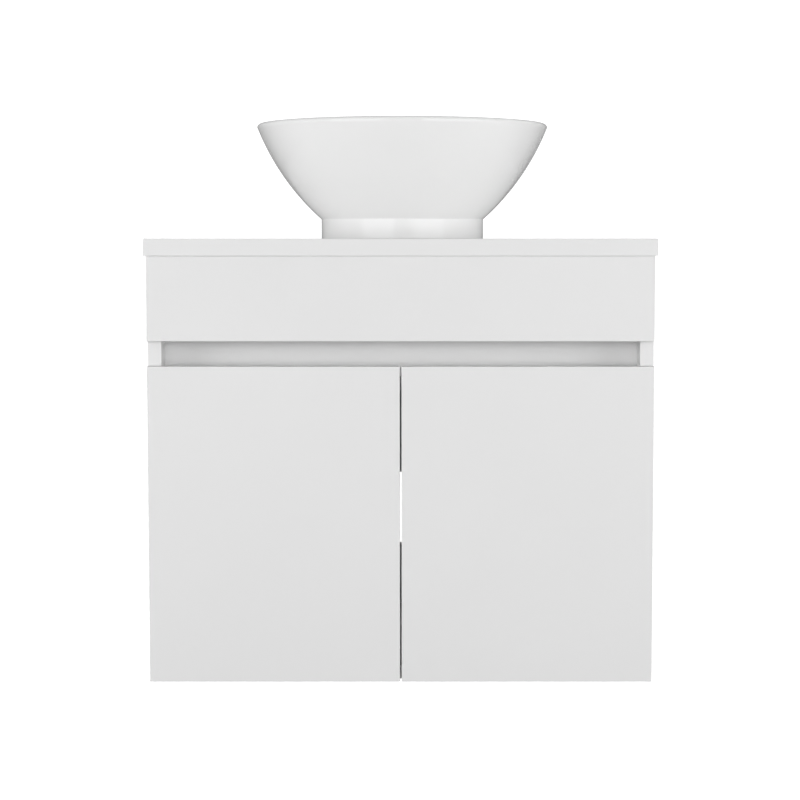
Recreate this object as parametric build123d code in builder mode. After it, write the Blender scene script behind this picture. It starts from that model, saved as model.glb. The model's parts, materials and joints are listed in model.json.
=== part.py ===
import os
from math import cos, pi, sin, sqrt

from build123d import *

# A wall-hung bathroom vanity with two doors and a round vessel basin on its benchtop.
# X runs along the wall, the wall is the plane Y = 0 with the room on its -Y side, Z is up.
# The origin is the middle of the upper row of wall fixing holes. Sizes are in millimetres.

os.makedirs("parts", exist_ok=True)

# --- Overall sizes ---
TOP_W = 600.0  # benchtop, along the wall
TOP_D = 455.0  # benchtop, wall to front edge
TOP_T = 20.0
TOP_OVER = 1.5  # benchtop past the outside of each side panel
TOP_NOSE = 5.0  # benchtop past the faces of the doors
CAB_H = 504.0
FRONT_IN = 1.0  # doors and fascia in from the outside of each side panel
FIX_DROP = 60.0  # underside of the benchtop down to the upper wall holes

# --- Boards ---
PANEL_T = 16.0
DOOR_T = 16.0
DOOR_AIR = 2.0  # between the backs of the doors and the carcass
DOOR_SPLIT = 2.0  # between the two doors
DOOR_EDGE_R = 0.8
TOP_EDGE_R = 1.0
FASCIA_H = 100.0
RECESS_H = 29.5  # open height of the finger recess
RECESS_D = 34.0  # carcass front to the face of the recess board
RECESS_HOOK = 14.0  # hollow behind the top edges of the doors
WEB_RISE = 20.0  # recess board behind the fascia
RAIL_D = 80.0  # top rails, front to back
SERVICE_LOW = 100.0  # pipe opening in the back, above the underside of the cabinet
SERVICE_H = 101.0

# --- Wall fixings ---
WALL_HOLE_R = 4.0
WALL_HOLE_IN = 57.5  # from the inner face of each side panel
LOW_FIX_UP = 57.0  # lower wall holes above the underside of the cabinet

# --- Knock-down joints between the boards ---
CAM_R = 7.5
CAM_T = 12.5
CAM_BACK = 24.0  # cam centre from the end of its board
BOLT_R = 3.0
BOLT_GRIP = 10.0  # bolt in the side panel
DOWEL_R = 4.0
DOWEL_L = 30.0
DOWEL_GRIP = 10.0  # dowel in the side panel
DOWEL_OFF = {  # from a joint's bolt to each of its two dowels
    "bottom_panel": 30.0,
    "top_rail": 24.0,
    "back_panel": 28.0,
    "back_rail": 26.0,
    "recess_board": 20.0,
    "recess_shelf": 15.0,
}
HOLE_FIT = 0.05  # radial clearance of a bolt, cam, dowel or screw in its hole
HOLE_OVER = 1.0  # a blind hole's depth past the end of what is in it
CAM_SLOT = 1.5

# --- Screws ---
SCREW_R = 2.0
SCREW_HEAD_R = 4.0
SCREW_HEAD_H = 2.4
TOP_SCREW_IN = 82.5  # from the inner face of each side panel
TOP_SCREW_BITE = 13.0  # screw in the benchtop
SHORT_SCREW_BITE = 11.0  # screw in a 16 mm board
WEB_SCREW_IN = 102.5
BRACKET_T = 2.0
BRACKET_LEG = 30.0
BRACKET_H = 44.0
BRACKET_DROP = 34.0  # underside of the benchtop to the bracket's top edge

# --- Basin ---
BASIN_Y = -225.0
RIM_R = 184.0
BASIN_H = 145.0
WALL = 9.0
LIP = 4.0
FOOT_R = 103.0
FOOT_H = 25.0
FOOT_WALL = 11.0
FLOOR_UP = 16.0  # underside of the bowl above the benchtop
FLOOR_T = 13.0
WASTE_HOLE_R = 23.0
SEAT_R = 35.0  # sunk seat for the waste flange
SEAT_SINK = 2.5
BEAD_W = 5.0  # silicone bead in the underside of the foot
BEAD_T = 2.0
BULGE = (0.57, 0.43)  # middle of the bowl's side, as shares of its run outwards and its rise
BULGE_LEAN = (0.81, 0.59)  # the way across the wall there, inwards and up
LOW_LEAN = sqrt(0.5)  # the same at the bottom of the side, which leans 45 degrees

# --- Waste ---
TAIL_R = 20.9  # G 1 1/4 thread, over its crests
TAIL_BORE_R = 16.5
TAIL_DROP = 65.0  # end of the tail below the top of the benchtop
FLANGE_R = 32.5
FLANGE_T = 2.5
THROAT_R = 25.0
SEAL_T = 1.2
WASTE_CLEAR = 4.1  # tail to the hole through the benchtop
BRIDGE_T = 4.0
BRIDGE_DROP = 18.0  # top of the bridge below the flange's top
BRIDGE_HUB_R = 8.0
SPOKE_W = 4.0
SPOKES = 3
CARTRIDGE_R = 6.0
CARTRIDGE_UP = 10.0
CARTRIDGE_STUB_R = 4.5
CARTRIDGE_FLOOR = 1.0
STEM_R = 3.0
STEM_RUN = 0.05  # radial running clearance of the stem
STEM_L = 18.0
PLUG_R = 29.0
PLUG_T = 5.0
PLUG_EDGE_T = 1.7
PLUG_SEAL_T = 1.5
PLUG_SEAL_LAP = 0.5  # from the flange's throat out to the seal
SEAL_IN = 1.0  # a seal or washer stands in from the edge of what covers it
PLUG_AIR = 0.3
WASHER_T = 3.0
PLATE_WASHER_T = 1.5
WASHER_R = 34.0
NUT_R = 30.0
NUT_T = 12.0
THREAD_FIT = 0.1

# --- Concealed hinges, in plan: u in from the door's outer edge, v back from its face ---
HINGE_INSET = 75.0  # from the door's top and bottom edges
ARM_PIN = (33.5, 14.6)
CUP_PIN = (11.3, 10.1)
LINK_CRANK = (19.3, 7.5)  # where the link is bent to pass the edge of the cup
CUP_U = 22.5
CUP_R = 17.5  # bore in the door
CUP_FIT = 0.1
CUP_WALL = 1.0
CUP_DEPTH = 11.5
FLANGE_HALF_Z = 26.0
FLANGE_U0 = 7.2
FLANGE_U1 = 41.0
FLANGE_TH = 1.0
CUP_SCREW_Z = 21.0
PIN_R = 1.5
PIN_RUN = 0.05
EYE_R = 2.4
LINK_T = 2.0
LINK_HALF_Z = 4.0
CHEEK_GAP = 0.3  # link to the arm's cheek
CHEEK_T = 1.5
NECK_W = 5.2
NECK_IN = 9.0  # end of the neck from the side panel's inner face
NECK_V = 33.0
ARM_IN = 4.0  # arm from the side panel's inner face
ARM_W = 8.0
ARM_V0 = 30.0
ARM_V1 = 84.0
ARM_WEB_T = 1.5
PLATE_T = 3.0
PLATE_V0 = 45.0
PLATE_V1 = 65.0
PLATE_HALF_Z = 26.0
PLATE_SCREW_Z = 16.0  # the two screws stand 32 mm apart
BUMPER_R = 4.0
BUMPER_AIR = 0.3
BUMPER_IN = 14.0  # from the door's free edge

# --- Places worked out from the sizes ---
PANEL_U = PANEL_T - FRONT_IN  # side panel's inner face, in from the door's outer edge
NECK_END = (PANEL_U + NECK_IN, NECK_V)
ARM_U0 = PANEL_U + ARM_IN
ARM_U1 = ARM_U0 + ARM_W
Z_TOP = FIX_DROP  # underside of the benchtop
Z_SINK = Z_TOP + TOP_T  # top of the benchtop
Z_BASE = Z_TOP - CAB_H  # underside of the cabinet and of the doors
FRONT_Y = -(TOP_D - TOP_NOSE)
DOOR_BACK_Y = FRONT_Y + DOOR_T
CARCASS_Y = DOOR_BACK_Y + DOOR_AIR
OUTER_X = TOP_W / 2 - TOP_OVER
INNER_X = OUTER_X - PANEL_T
FRONT_X = OUTER_X - FRONT_IN
WALL_HOLE_X = INNER_X - WALL_HOLE_IN
TOP_SCREW_X = INNER_X - TOP_SCREW_IN
WEB_SCREW_X = INNER_X - WEB_SCREW_IN
FASCIA_Z = Z_TOP - FASCIA_H  # lower edge of the fascia
DOOR_TOP = FASCIA_Z - RECESS_H
WEB_Y = CARCASS_Y + RECESS_D
SHELF_TOP = DOOR_TOP - RECESS_HOOK
WEB_TOP = FASCIA_Z + WEB_RISE
SERVICE_Z = Z_BASE + SERVICE_LOW
SERVICE_TOP = SERVICE_Z + SERVICE_H
LOW_FIX_Z = Z_BASE + LOW_FIX_UP
HINGE_Z = (Z_BASE + HINGE_INSET, DOOR_TOP - HINGE_INSET)
SIDES = (("left", -1), ("right", 1))
LOW = (Align.MIN, Align.MIN, Align.MIN)
UP = (Align.CENTER, Align.CENTER, Align.MIN)
MID_SECTION = Plane.XZ.offset(-BASIN_Y)  # upright section through the basin's axis
BASIN_AXIS = Axis((0, BASIN_Y, 0), (0, 0, 1))


def save(piece, name):
    """Labels a finished piece and writes it as its own STEP file."""
    piece.part.label = name
    export_step(piece.part, f"parts/{name}.step")


def board(x, y, z, mode=Mode.ADD):
    """A flat board between the given pairs of limits, in the part that is open."""
    with Locations((x[0], y[0], z[0])):
        Box(x[1] - x[0], y[1] - y[0], z[1] - z[0], align=LOW, mode=mode)


def rod(at, towards, radius, length, mode=Mode.ADD):
    """A round bar, or its hole, that starts at a point and runs in a direction."""
    with Locations(Plane(origin=at, z_dir=towards)):
        Cylinder(radius, length, align=UP, mode=mode)


def screw(at, towards, bite, mode=Mode.ADD, grow=0.0):
    """A countersunk screw with its head's face at a point, or the hole that fits it."""
    with Locations(Plane(origin=at, z_dir=towards)):
        Cylinder(SCREW_R + grow, bite + grow, align=UP, mode=mode)
        Cone(SCREW_HEAD_R + grow, SCREW_R + grow, SCREW_HEAD_H, align=UP, mode=mode)


def screw_hole(at, towards, bite):
    screw(at, towards, bite, Mode.SUBTRACT, HOLE_FIT)


# --- Knock-down joints: each board, the joint's Y and Z, the face its cam opens to,
# and the way from its bolt to the dowels beside it ---
FLAT_MID = PANEL_T / 2
BACK_MID = -PANEL_T / 2
WEB_MID = WEB_Y + PANEL_T / 2
SHELF_MID_Y = (CARCASS_Y + WEB_Y + PANEL_T) / 2
RAIL_FRONT = (CARCASS_Y, CARCASS_Y + RAIL_D)
RAIL_REAR = (-PANEL_T - RAIL_D, -PANEL_T)
LOW_RAIL_Z = (Z_BASE + PANEL_T, SERVICE_Z)
BOTTOM_JOINT_IN = 62.0  # from the front and back edges of the bottom panel
BACK_JOINT_IN = 45.0  # from the upper and lower edges of the upper back panel
BACK_JOINT_Z = (Z_TOP - BACK_JOINT_IN, SERVICE_TOP + BACK_JOINT_IN)


def flat_joint(board_name, y, z, off):
    """A joint of a board that lies flat: its cam opens downwards."""
    return {"board": board_name, "y": y, "z": z, "face": (0, 0, -1), "beside": (0, off, 0)}


def upright_joint(board_name, y, z, off, facing):
    """A joint of an upright board: its cam opens to the front (-1) or to the wall (1)."""
    return {"board": board_name, "y": y, "z": z, "face": (0, facing, 0), "beside": (0, 0, off)}


JOINTS = [
    flat_joint("bottom_panel", CARCASS_Y + BOTTOM_JOINT_IN, Z_BASE + FLAT_MID, DOWEL_OFF["bottom_panel"]),
    flat_joint("bottom_panel", -BOTTOM_JOINT_IN, Z_BASE + FLAT_MID, DOWEL_OFF["bottom_panel"]),
    flat_joint("top_rail_front", sum(RAIL_FRONT) / 2, Z_TOP - FLAT_MID, DOWEL_OFF["top_rail"]),
    flat_joint("top_rail_rear", sum(RAIL_REAR) / 2, Z_TOP - FLAT_MID, DOWEL_OFF["top_rail"]),
    flat_joint("recess_shelf", SHELF_MID_Y, SHELF_TOP - FLAT_MID, DOWEL_OFF["recess_shelf"]),
    upright_joint("recess_board", WEB_MID, (SHELF_TOP + WEB_TOP) / 2, DOWEL_OFF["recess_board"], 1),
    upright_joint("back_panel_upper", BACK_MID, BACK_JOINT_Z[0], DOWEL_OFF["back_panel"], -1),
    upright_joint("back_panel_upper", BACK_MID, BACK_JOINT_Z[1], DOWEL_OFF["back_panel"], -1),
    upright_joint("back_rail_lower", BACK_MID, sum(LOW_RAIL_Z) / 2, DOWEL_OFF["back_rail"], -1),
]


def dowel_places(j):
    """Y and Z of the two dowels beside a joint's bolt."""
    return [(j["y"] + s * j["beside"][1], j["z"] + s * j["beside"][2]) for s in (-1, 1)]


def joint_cuts(name):
    """Cuts a board's cam bores, bolt ways and dowel holes at both of its ends."""
    for j in JOINTS:
        if j["board"] != name:
            continue
        to_face = Vector(j["face"])
        for _, side in SIDES:
            end = Vector(side * INNER_X, j["y"], j["z"])
            inward = Vector(-side, 0, 0)
            cam = end + inward * CAM_BACK + to_face * (PANEL_T / 2)
            rod(cam, -to_face, CAM_R + HOLE_FIT, CAM_T + HOLE_FIT, Mode.SUBTRACT)
            rod(end, inward, BOLT_R + HOLE_FIT, CAM_BACK, Mode.SUBTRACT)
            for y, z in dowel_places(j):
                depth = DOWEL_L - DOWEL_GRIP + HOLE_OVER
                rod((end.X, y, z), inward, DOWEL_R + HOLE_FIT, depth, Mode.SUBTRACT)


# --- Carcass ---
BRACKET_MID = Z_TOP - BRACKET_DROP - BRACKET_H / 2
BRACKET_SCREW_Z = (BRACKET_MID - BRACKET_H / 4, BRACKET_MID + BRACKET_H / 4)
PLATE_MID_Y = FRONT_Y + (PLATE_V0 + PLATE_V1) / 2

for name, side in SIDES:
    with BuildPart() as side_panel:
        board(sorted((side * INNER_X, side * OUTER_X)), (CARCASS_Y, 0), (Z_BASE, Z_TOP))
        for j in JOINTS:
            face = (side * INNER_X, j["y"], j["z"])
            rod(face, (side, 0, 0), BOLT_R + HOLE_FIT, BOLT_GRIP + HOLE_OVER, Mode.SUBTRACT)
            for y, z in dowel_places(j):
                spot = (side * INNER_X, y, z)
                rod(spot, (side, 0, 0), DOWEL_R + HOLE_FIT, DOWEL_GRIP + HOLE_OVER, Mode.SUBTRACT)
        for z in HINGE_Z:
            for s in (-1, 1):
                at = (side * (INNER_X - PLATE_T), PLATE_MID_Y, z + s * PLATE_SCREW_Z)
                screw_hole(at, (side, 0, 0), PLATE_T + SHORT_SCREW_BITE)
        for z in BRACKET_SCREW_Z:
            at = (side * (INNER_X - BRACKET_T), CARCASS_Y + BRACKET_LEG / 2, z)
            screw_hole(at, (side, 0, 0), BRACKET_T + SHORT_SCREW_BITE)
    save(side_panel, f"side_panel_{name}")

BETWEEN = (-INNER_X, INNER_X)

with BuildPart() as bottom_panel:
    board(BETWEEN, (CARCASS_Y, 0), (Z_BASE, Z_BASE + PANEL_T))
    joint_cuts("bottom_panel")
save(bottom_panel, "bottom_panel")

with BuildPart() as back_panel_upper:
    board(BETWEEN, (-PANEL_T, 0), (SERVICE_TOP, Z_TOP))
    for x in (-WALL_HOLE_X, WALL_HOLE_X):
        rod((x, 0, 0), (0, -1, 0), WALL_HOLE_R, PANEL_T, Mode.SUBTRACT)
    joint_cuts("back_panel_upper")
save(back_panel_upper, "back_panel_upper")

with BuildPart() as back_rail_lower:
    board(BETWEEN, (-PANEL_T, 0), LOW_RAIL_Z)
    for x in (-WALL_HOLE_X, WALL_HOLE_X):
        rod((x, 0, LOW_FIX_Z), (0, -1, 0), WALL_HOLE_R, PANEL_T, Mode.SUBTRACT)
    joint_cuts("back_rail_lower")
save(back_rail_lower, "back_rail_lower")

for name, depth in (("top_rail_front", RAIL_FRONT), ("top_rail_rear", RAIL_REAR)):
    with BuildPart() as top_rail:
        board(BETWEEN, depth, (Z_TOP - PANEL_T, Z_TOP))
        for x in (-TOP_SCREW_X, TOP_SCREW_X):
            screw_hole((x, sum(depth) / 2, Z_TOP - PANEL_T), (0, 0, 1), PANEL_T + TOP_SCREW_BITE)
        joint_cuts(name)
    save(top_rail, name)

with BuildPart() as recess_board:
    board(BETWEEN, (WEB_Y, WEB_Y + PANEL_T), (SHELF_TOP, WEB_TOP))
    for x in (-WEB_SCREW_X, 0, WEB_SCREW_X):
        screw_hole((x, WEB_MID, SHELF_TOP - PANEL_T), (0, 0, 1), PANEL_T + TOP_SCREW_BITE)
    joint_cuts("recess_board")
save(recess_board, "recess_board")

with BuildPart() as recess_shelf:
    board(BETWEEN, (CARCASS_Y, WEB_Y + PANEL_T), (SHELF_TOP - PANEL_T, SHELF_TOP))
    for x in (-WEB_SCREW_X, 0, WEB_SCREW_X):
        screw_hole((x, WEB_MID, SHELF_TOP - PANEL_T), (0, 0, 1), PANEL_T + TOP_SCREW_BITE)
    joint_cuts("recess_shelf")
save(recess_shelf, "recess_shelf")


BRACKET_REACH = INNER_X - BRACKET_LEG / 2  # X of the screws into the fascia

with BuildPart() as fascia:
    board((-FRONT_X, FRONT_X), (FRONT_Y, CARCASS_Y), (FASCIA_Z, Z_TOP))
    for _, side in SIDES:
        for z in BRACKET_SCREW_Z:
            at = (side * BRACKET_REACH, CARCASS_Y + BRACKET_T, z)
            screw_hole(at, (0, -1, 0), BRACKET_T + SHORT_SCREW_BITE)
    front = fascia.faces().sort_by(Axis.Y)[0]
    fillet(front.edges(), DOOR_EDGE_R)
save(fascia, "fascia")

with BuildPart() as fascia_brackets:
    z_range = (Z_TOP - BRACKET_DROP - BRACKET_H, Z_TOP - BRACKET_DROP)
    for _, side in SIDES:
        on_side = sorted((side * INNER_X, side * (INNER_X - BRACKET_T)))
        on_front = sorted((side * INNER_X, side * (INNER_X - BRACKET_LEG)))
        board(on_side, (CARCASS_Y, CARCASS_Y + BRACKET_LEG), z_range)
        board(on_front, (CARCASS_Y, CARCASS_Y + BRACKET_T), z_range)
        for z in BRACKET_SCREW_Z:
            screw_hole((side * BRACKET_REACH, CARCASS_Y + BRACKET_T, z), (0, -1, 0), BRACKET_LEG)
            at = (side * (INNER_X - BRACKET_T), CARCASS_Y + BRACKET_LEG / 2, z)
            screw_hole(at, (side, 0, 0), BRACKET_LEG)
save(fascia_brackets, "fascia_brackets")

with BuildPart() as bracket_screws:
    for _, side in SIDES:
        for z in BRACKET_SCREW_Z:
            bite = BRACKET_T + SHORT_SCREW_BITE
            screw((side * BRACKET_REACH, CARCASS_Y + BRACKET_T, z), (0, -1, 0), bite)
            screw((side * (INNER_X - BRACKET_T), CARCASS_Y + BRACKET_LEG / 2, z), (side, 0, 0), bite)
save(bracket_screws, "bracket_screws")

# --- Knock-down fittings ---
with BuildPart() as cam_bolts:
    for j in JOINTS:
        for _, side in SIDES:
            start = (side * (INNER_X + BOLT_GRIP), j["y"], j["z"])
            rod(start, (-side, 0, 0), BOLT_R, BOLT_GRIP + CAM_BACK)
save(cam_bolts, "cam_bolts")

with BuildPart() as cam_locks:
    for j in JOINTS:
        to_face = Vector(j["face"])
        for _, side in SIDES:
            centre = Vector(side * (INNER_X - CAM_BACK), j["y"], j["z"])
            top = centre + to_face * (PANEL_T / 2)
            rod(top, -to_face, CAM_R, CAM_T)
            throat = centre - Vector(side, 0, 0) * (BOLT_R + HOLE_FIT)
            rod(throat, (side, 0, 0), BOLT_R + HOLE_FIT, CAM_R + 2 * BOLT_R, Mode.SUBTRACT)
            along = Vector(side, 0, 0)
            with Locations(Plane(origin=top, x_dir=along, z_dir=-to_face)):
                Box(CAM_R, CAM_SLOT, CAM_SLOT, align=UP, mode=Mode.SUBTRACT)
                Box(CAM_SLOT, CAM_R, CAM_SLOT, align=UP, mode=Mode.SUBTRACT)
save(cam_locks, "cam_locks")

with BuildPart() as dowels:
    for j in JOINTS:
        for _, side in SIDES:
            for y, z in dowel_places(j):
                rod((side * (INNER_X + DOWEL_GRIP), y, z), (-side, 0, 0), DOWEL_R, DOWEL_L)
save(dowels, "dowels")

# --- Benchtop ---
BENCH_HOLE_R = TAIL_R + WASTE_CLEAR

with BuildPart() as benchtop:
    board((-TOP_W / 2, TOP_W / 2), (-TOP_D, 0), (Z_TOP, Z_SINK))
    top_face = benchtop.faces().sort_by(Axis.Z)[-1]
    fillet(top_face.edges(), TOP_EDGE_R)
    rod((0, BASIN_Y, Z_TOP), (0, 0, 1), BENCH_HOLE_R, TOP_T, Mode.SUBTRACT)
    for x in (-TOP_SCREW_X, TOP_SCREW_X):
        for depth in (RAIL_FRONT, RAIL_REAR):
            pilot = (x, sum(depth) / 2, Z_TOP)
            rod(pilot, (0, 0, 1), SCREW_R + HOLE_FIT, TOP_SCREW_BITE + HOLE_FIT, Mode.SUBTRACT)
save(benchtop, "benchtop")

with BuildPart() as benchtop_screws:
    for x in (-TOP_SCREW_X, TOP_SCREW_X):
        for depth in (RAIL_FRONT, RAIL_REAR):
            screw((x, sum(depth) / 2, Z_TOP - PANEL_T), (0, 0, 1), PANEL_T + TOP_SCREW_BITE)
save(benchtop_screws, "benchtop_screws")

with BuildPart() as recess_screws:
    for x in (-WEB_SCREW_X, 0, WEB_SCREW_X):
        screw((x, WEB_MID, SHELF_TOP - PANEL_T), (0, 0, 1), PANEL_T + TOP_SCREW_BITE)
save(recess_screws, "recess_screws")

# --- Basin: a bowl whose side is one arc, on a hollow round foot ---
BOWL_MID = (FOOT_R + BULGE[0] * (RIM_R - FOOT_R), FOOT_H + BULGE[1] * (BASIN_H - FOOT_H))
LIP_OUT = (RIM_R, BASIN_H - LIP)
LIP_TOP = (RIM_R - WALL / 2, BASIN_H)
LIP_IN = (RIM_R - WALL, BASIN_H - LIP)
INNER_MID = (BOWL_MID[0] - WALL * BULGE_LEAN[0], BOWL_MID[1] + WALL * BULGE_LEAN[1])
INNER_LOW = (FOOT_R - WALL * LOW_LEAN, FOOT_H + WALL * LOW_LEAN)
FLOOR_TOP = FLOOR_UP + FLOOR_T
SEAT_Z = FLOOR_TOP - SEAT_SINK


def at_sink(r, h):
    """A point of the section through the basin's axis: radius, height above the benchtop."""
    return (r, Z_SINK + h)


with BuildPart() as basin:
    with BuildSketch(MID_SECTION):
        with BuildLine():
            Line(at_sink(FOOT_R - FOOT_WALL, 0), at_sink(FOOT_R, 0))
            Line(at_sink(FOOT_R, 0), at_sink(FOOT_R, FOOT_H))
            ThreePointArc(at_sink(FOOT_R, FOOT_H), at_sink(*BOWL_MID), at_sink(*LIP_OUT))
            ThreePointArc(at_sink(*LIP_OUT), at_sink(*LIP_TOP), at_sink(*LIP_IN))
            side_arc = ThreePointArc(at_sink(*LIP_IN), at_sink(*INNER_MID), at_sink(*INNER_LOW))
            TangentArc(at_sink(*INNER_LOW), at_sink(SEAT_R + WALL, FLOOR_TOP), tangent=side_arc % 1)
            Polyline(
                at_sink(SEAT_R + WALL, FLOOR_TOP),
                at_sink(SEAT_R, FLOOR_TOP),
                at_sink(SEAT_R, SEAT_Z),
                at_sink(WASTE_HOLE_R, SEAT_Z),
                at_sink(WASTE_HOLE_R, FLOOR_UP),
                at_sink(FOOT_R - FOOT_WALL, FLOOR_UP),
                at_sink(FOOT_R - FOOT_WALL, 0),
            )
        make_face()
    revolve(axis=BASIN_AXIS)
    groove_r = FOOT_R - FOOT_WALL / 2
    with BuildSketch(Plane.XY.offset(Z_SINK)):
        with Locations((0, BASIN_Y)):
            Circle(groove_r + BEAD_W / 2 + HOLE_FIT)
            Circle(groove_r - BEAD_W / 2 - HOLE_FIT, mode=Mode.SUBTRACT)
    extrude(amount=BEAD_T, mode=Mode.SUBTRACT)
save(basin, "basin")


def ring(z, height, outer, inner):
    """A flat ring round the basin's axis, in the part that is open."""
    with BuildSketch(Plane.XY.offset(z)) as flat:
        with Locations((0, BASIN_Y)):
            Circle(outer)
            Circle(inner, mode=Mode.SUBTRACT)
    extrude(flat.sketch, amount=height)


with BuildPart() as basin_bead:
    ring(Z_SINK, BEAD_T, groove_r + BEAD_W / 2, groove_r - BEAD_W / 2)
save(basin_bead, "basin_bead")

# --- Waste: flange and threaded tail, a spoked bridge, a push cartridge and a plug ---
FLANGE_UNDER = Z_SINK + SEAT_Z + SEAL_T
FLANGE_TOP = FLANGE_UNDER + FLANGE_T
TAIL_END = Z_SINK - TAIL_DROP
BRIDGE_TOP = FLANGE_TOP - BRIDGE_DROP
CARTRIDGE_TOP = BRIDGE_TOP + CARTRIDGE_UP
PLUG_UNDER = FLANGE_TOP + PLUG_AIR + PLUG_SEAL_T

with BuildPart() as waste_body:
    with BuildSketch(MID_SECTION):
        with BuildLine():
            Polyline(
                (TAIL_BORE_R, TAIL_END),
                (TAIL_R, TAIL_END),
                (TAIL_R, FLANGE_UNDER),
                (FLANGE_R, FLANGE_UNDER),
                (FLANGE_R, FLANGE_TOP - FLANGE_T / 2),
                (FLANGE_R - FLANGE_T / 2, FLANGE_TOP),
                (THROAT_R, FLANGE_TOP),
                (TAIL_BORE_R, FLANGE_TOP - (THROAT_R - TAIL_BORE_R) / 2),
                close=True,
            )
        make_face()
    revolve(axis=BASIN_AXIS)
    for spoke in range(SPOKES):
        turn = 2 * pi * spoke / SPOKES + pi / 2
        hub = (0, BASIN_Y, BRIDGE_TOP - BRIDGE_T)
        out = (cos(turn), sin(turn), 0)
        with Locations(Plane(origin=hub, x_dir=out, z_dir=(0, 0, 1))):
            spoke_l = TAIL_BORE_R + (TAIL_R - TAIL_BORE_R) / 2
            Box(spoke_l, SPOKE_W, BRIDGE_T, align=(Align.MIN, Align.CENTER, Align.MIN))
    rod((0, BASIN_Y, BRIDGE_TOP - BRIDGE_T), (0, 0, 1), BRIDGE_HUB_R, BRIDGE_T)
    rod((0, BASIN_Y, BRIDGE_TOP), (0, 0, -1), CARTRIDGE_STUB_R + HOLE_FIT, BRIDGE_T, Mode.SUBTRACT)
save(waste_body, "waste_body")

with BuildPart() as waste_cartridge:
    rod((0, BASIN_Y, BRIDGE_TOP), (0, 0, 1), CARTRIDGE_R, CARTRIDGE_UP)
    rod((0, BASIN_Y, BRIDGE_TOP), (0, 0, -1), CARTRIDGE_STUB_R, BRIDGE_T)
    bore = CARTRIDGE_UP + BRIDGE_T - CARTRIDGE_FLOOR
    rod((0, BASIN_Y, CARTRIDGE_TOP), (0, 0, -1), STEM_R + STEM_RUN, bore, Mode.SUBTRACT)
save(waste_cartridge, "waste_cartridge")

with BuildPart() as waste_plug:
    brow = PLUG_UNDER + PLUG_EDGE_T
    with BuildSketch(MID_SECTION):
        with BuildLine():
            TangentArc((0, PLUG_UNDER + PLUG_T), (PLUG_R, brow), tangent=(1, 0))
            Polyline((PLUG_R, brow), (PLUG_R, PLUG_UNDER), (0, PLUG_UNDER), (0, PLUG_UNDER + PLUG_T))
        make_face()
    revolve(axis=BASIN_AXIS)
    rod((0, BASIN_Y, PLUG_UNDER), (0, 0, -1), STEM_R, STEM_L)
save(waste_plug, "waste_plug")

with BuildPart() as plug_seal:
    ring(PLUG_UNDER - PLUG_SEAL_T, PLUG_SEAL_T, PLUG_R - SEAL_IN, THROAT_R + PLUG_SEAL_LAP)
save(plug_seal, "plug_seal")

with BuildPart() as flange_seal:
    ring(Z_SINK + SEAT_Z, SEAL_T, FLANGE_R - SEAL_IN, WASTE_HOLE_R)
save(flange_seal, "flange_seal")

with BuildPart() as waste_washer:
    ring(Z_TOP - WASHER_T, WASHER_T, WASHER_R, TAIL_R + THREAD_FIT)
save(waste_washer, "waste_washer")

with BuildPart() as waste_plate_washer:
    under = Z_TOP - WASHER_T - PLATE_WASHER_T
    ring(under, PLATE_WASHER_T, WASHER_R - SEAL_IN, TAIL_R + THREAD_FIT)
save(waste_plate_washer, "waste_plate_washer")

with BuildPart() as waste_backnut:
    nut_z = Z_TOP - WASHER_T - PLATE_WASHER_T - NUT_T
    with BuildSketch(Plane.XY.offset(nut_z)):
        with Locations((0, BASIN_Y)):
            RegularPolygon(NUT_R, 6)
            Circle(TAIL_R + THREAD_FIT, mode=Mode.SUBTRACT)
    extrude(amount=NUT_T)
save(waste_backnut, "waste_backnut")


# --- Doors and their concealed hinges ---
def plan(side, point):
    """World X and Y of a plan point (u, v) on one side of the cabinet."""
    return (side * (FRONT_X - point[0]), FRONT_Y + point[1])


def bar(side, start, end, width):
    """A straight bar between two plan points, in the sketch that is open."""
    a, b = Vector(*plan(side, start)), Vector(*plan(side, end))
    across = (b - a).normalized().rotate(Axis.Z, 90) * (width / 2)
    corners = [a + across, b + across, b - across, a - across]
    Polygon(*[(c.X, c.Y) for c in corners], align=None)


def disc(side, point, radius, mode=Mode.ADD):
    with Locations(plan(side, point)):
        Circle(radius, mode=mode)


CUP_OUT_R = CUP_R - CUP_FIT
CUP_IN_R = CUP_OUT_R - CUP_WALL
CUP_PIN_HALF = sqrt(CUP_OUT_R**2 - (CUP_U - CUP_PIN[0] + PIN_R) ** 2)  # ends inside the cup's wall
CHEEK_Z = LINK_HALF_Z + CHEEK_GAP
ARM_HALF_Z = CHEEK_Z + CHEEK_T

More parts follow.
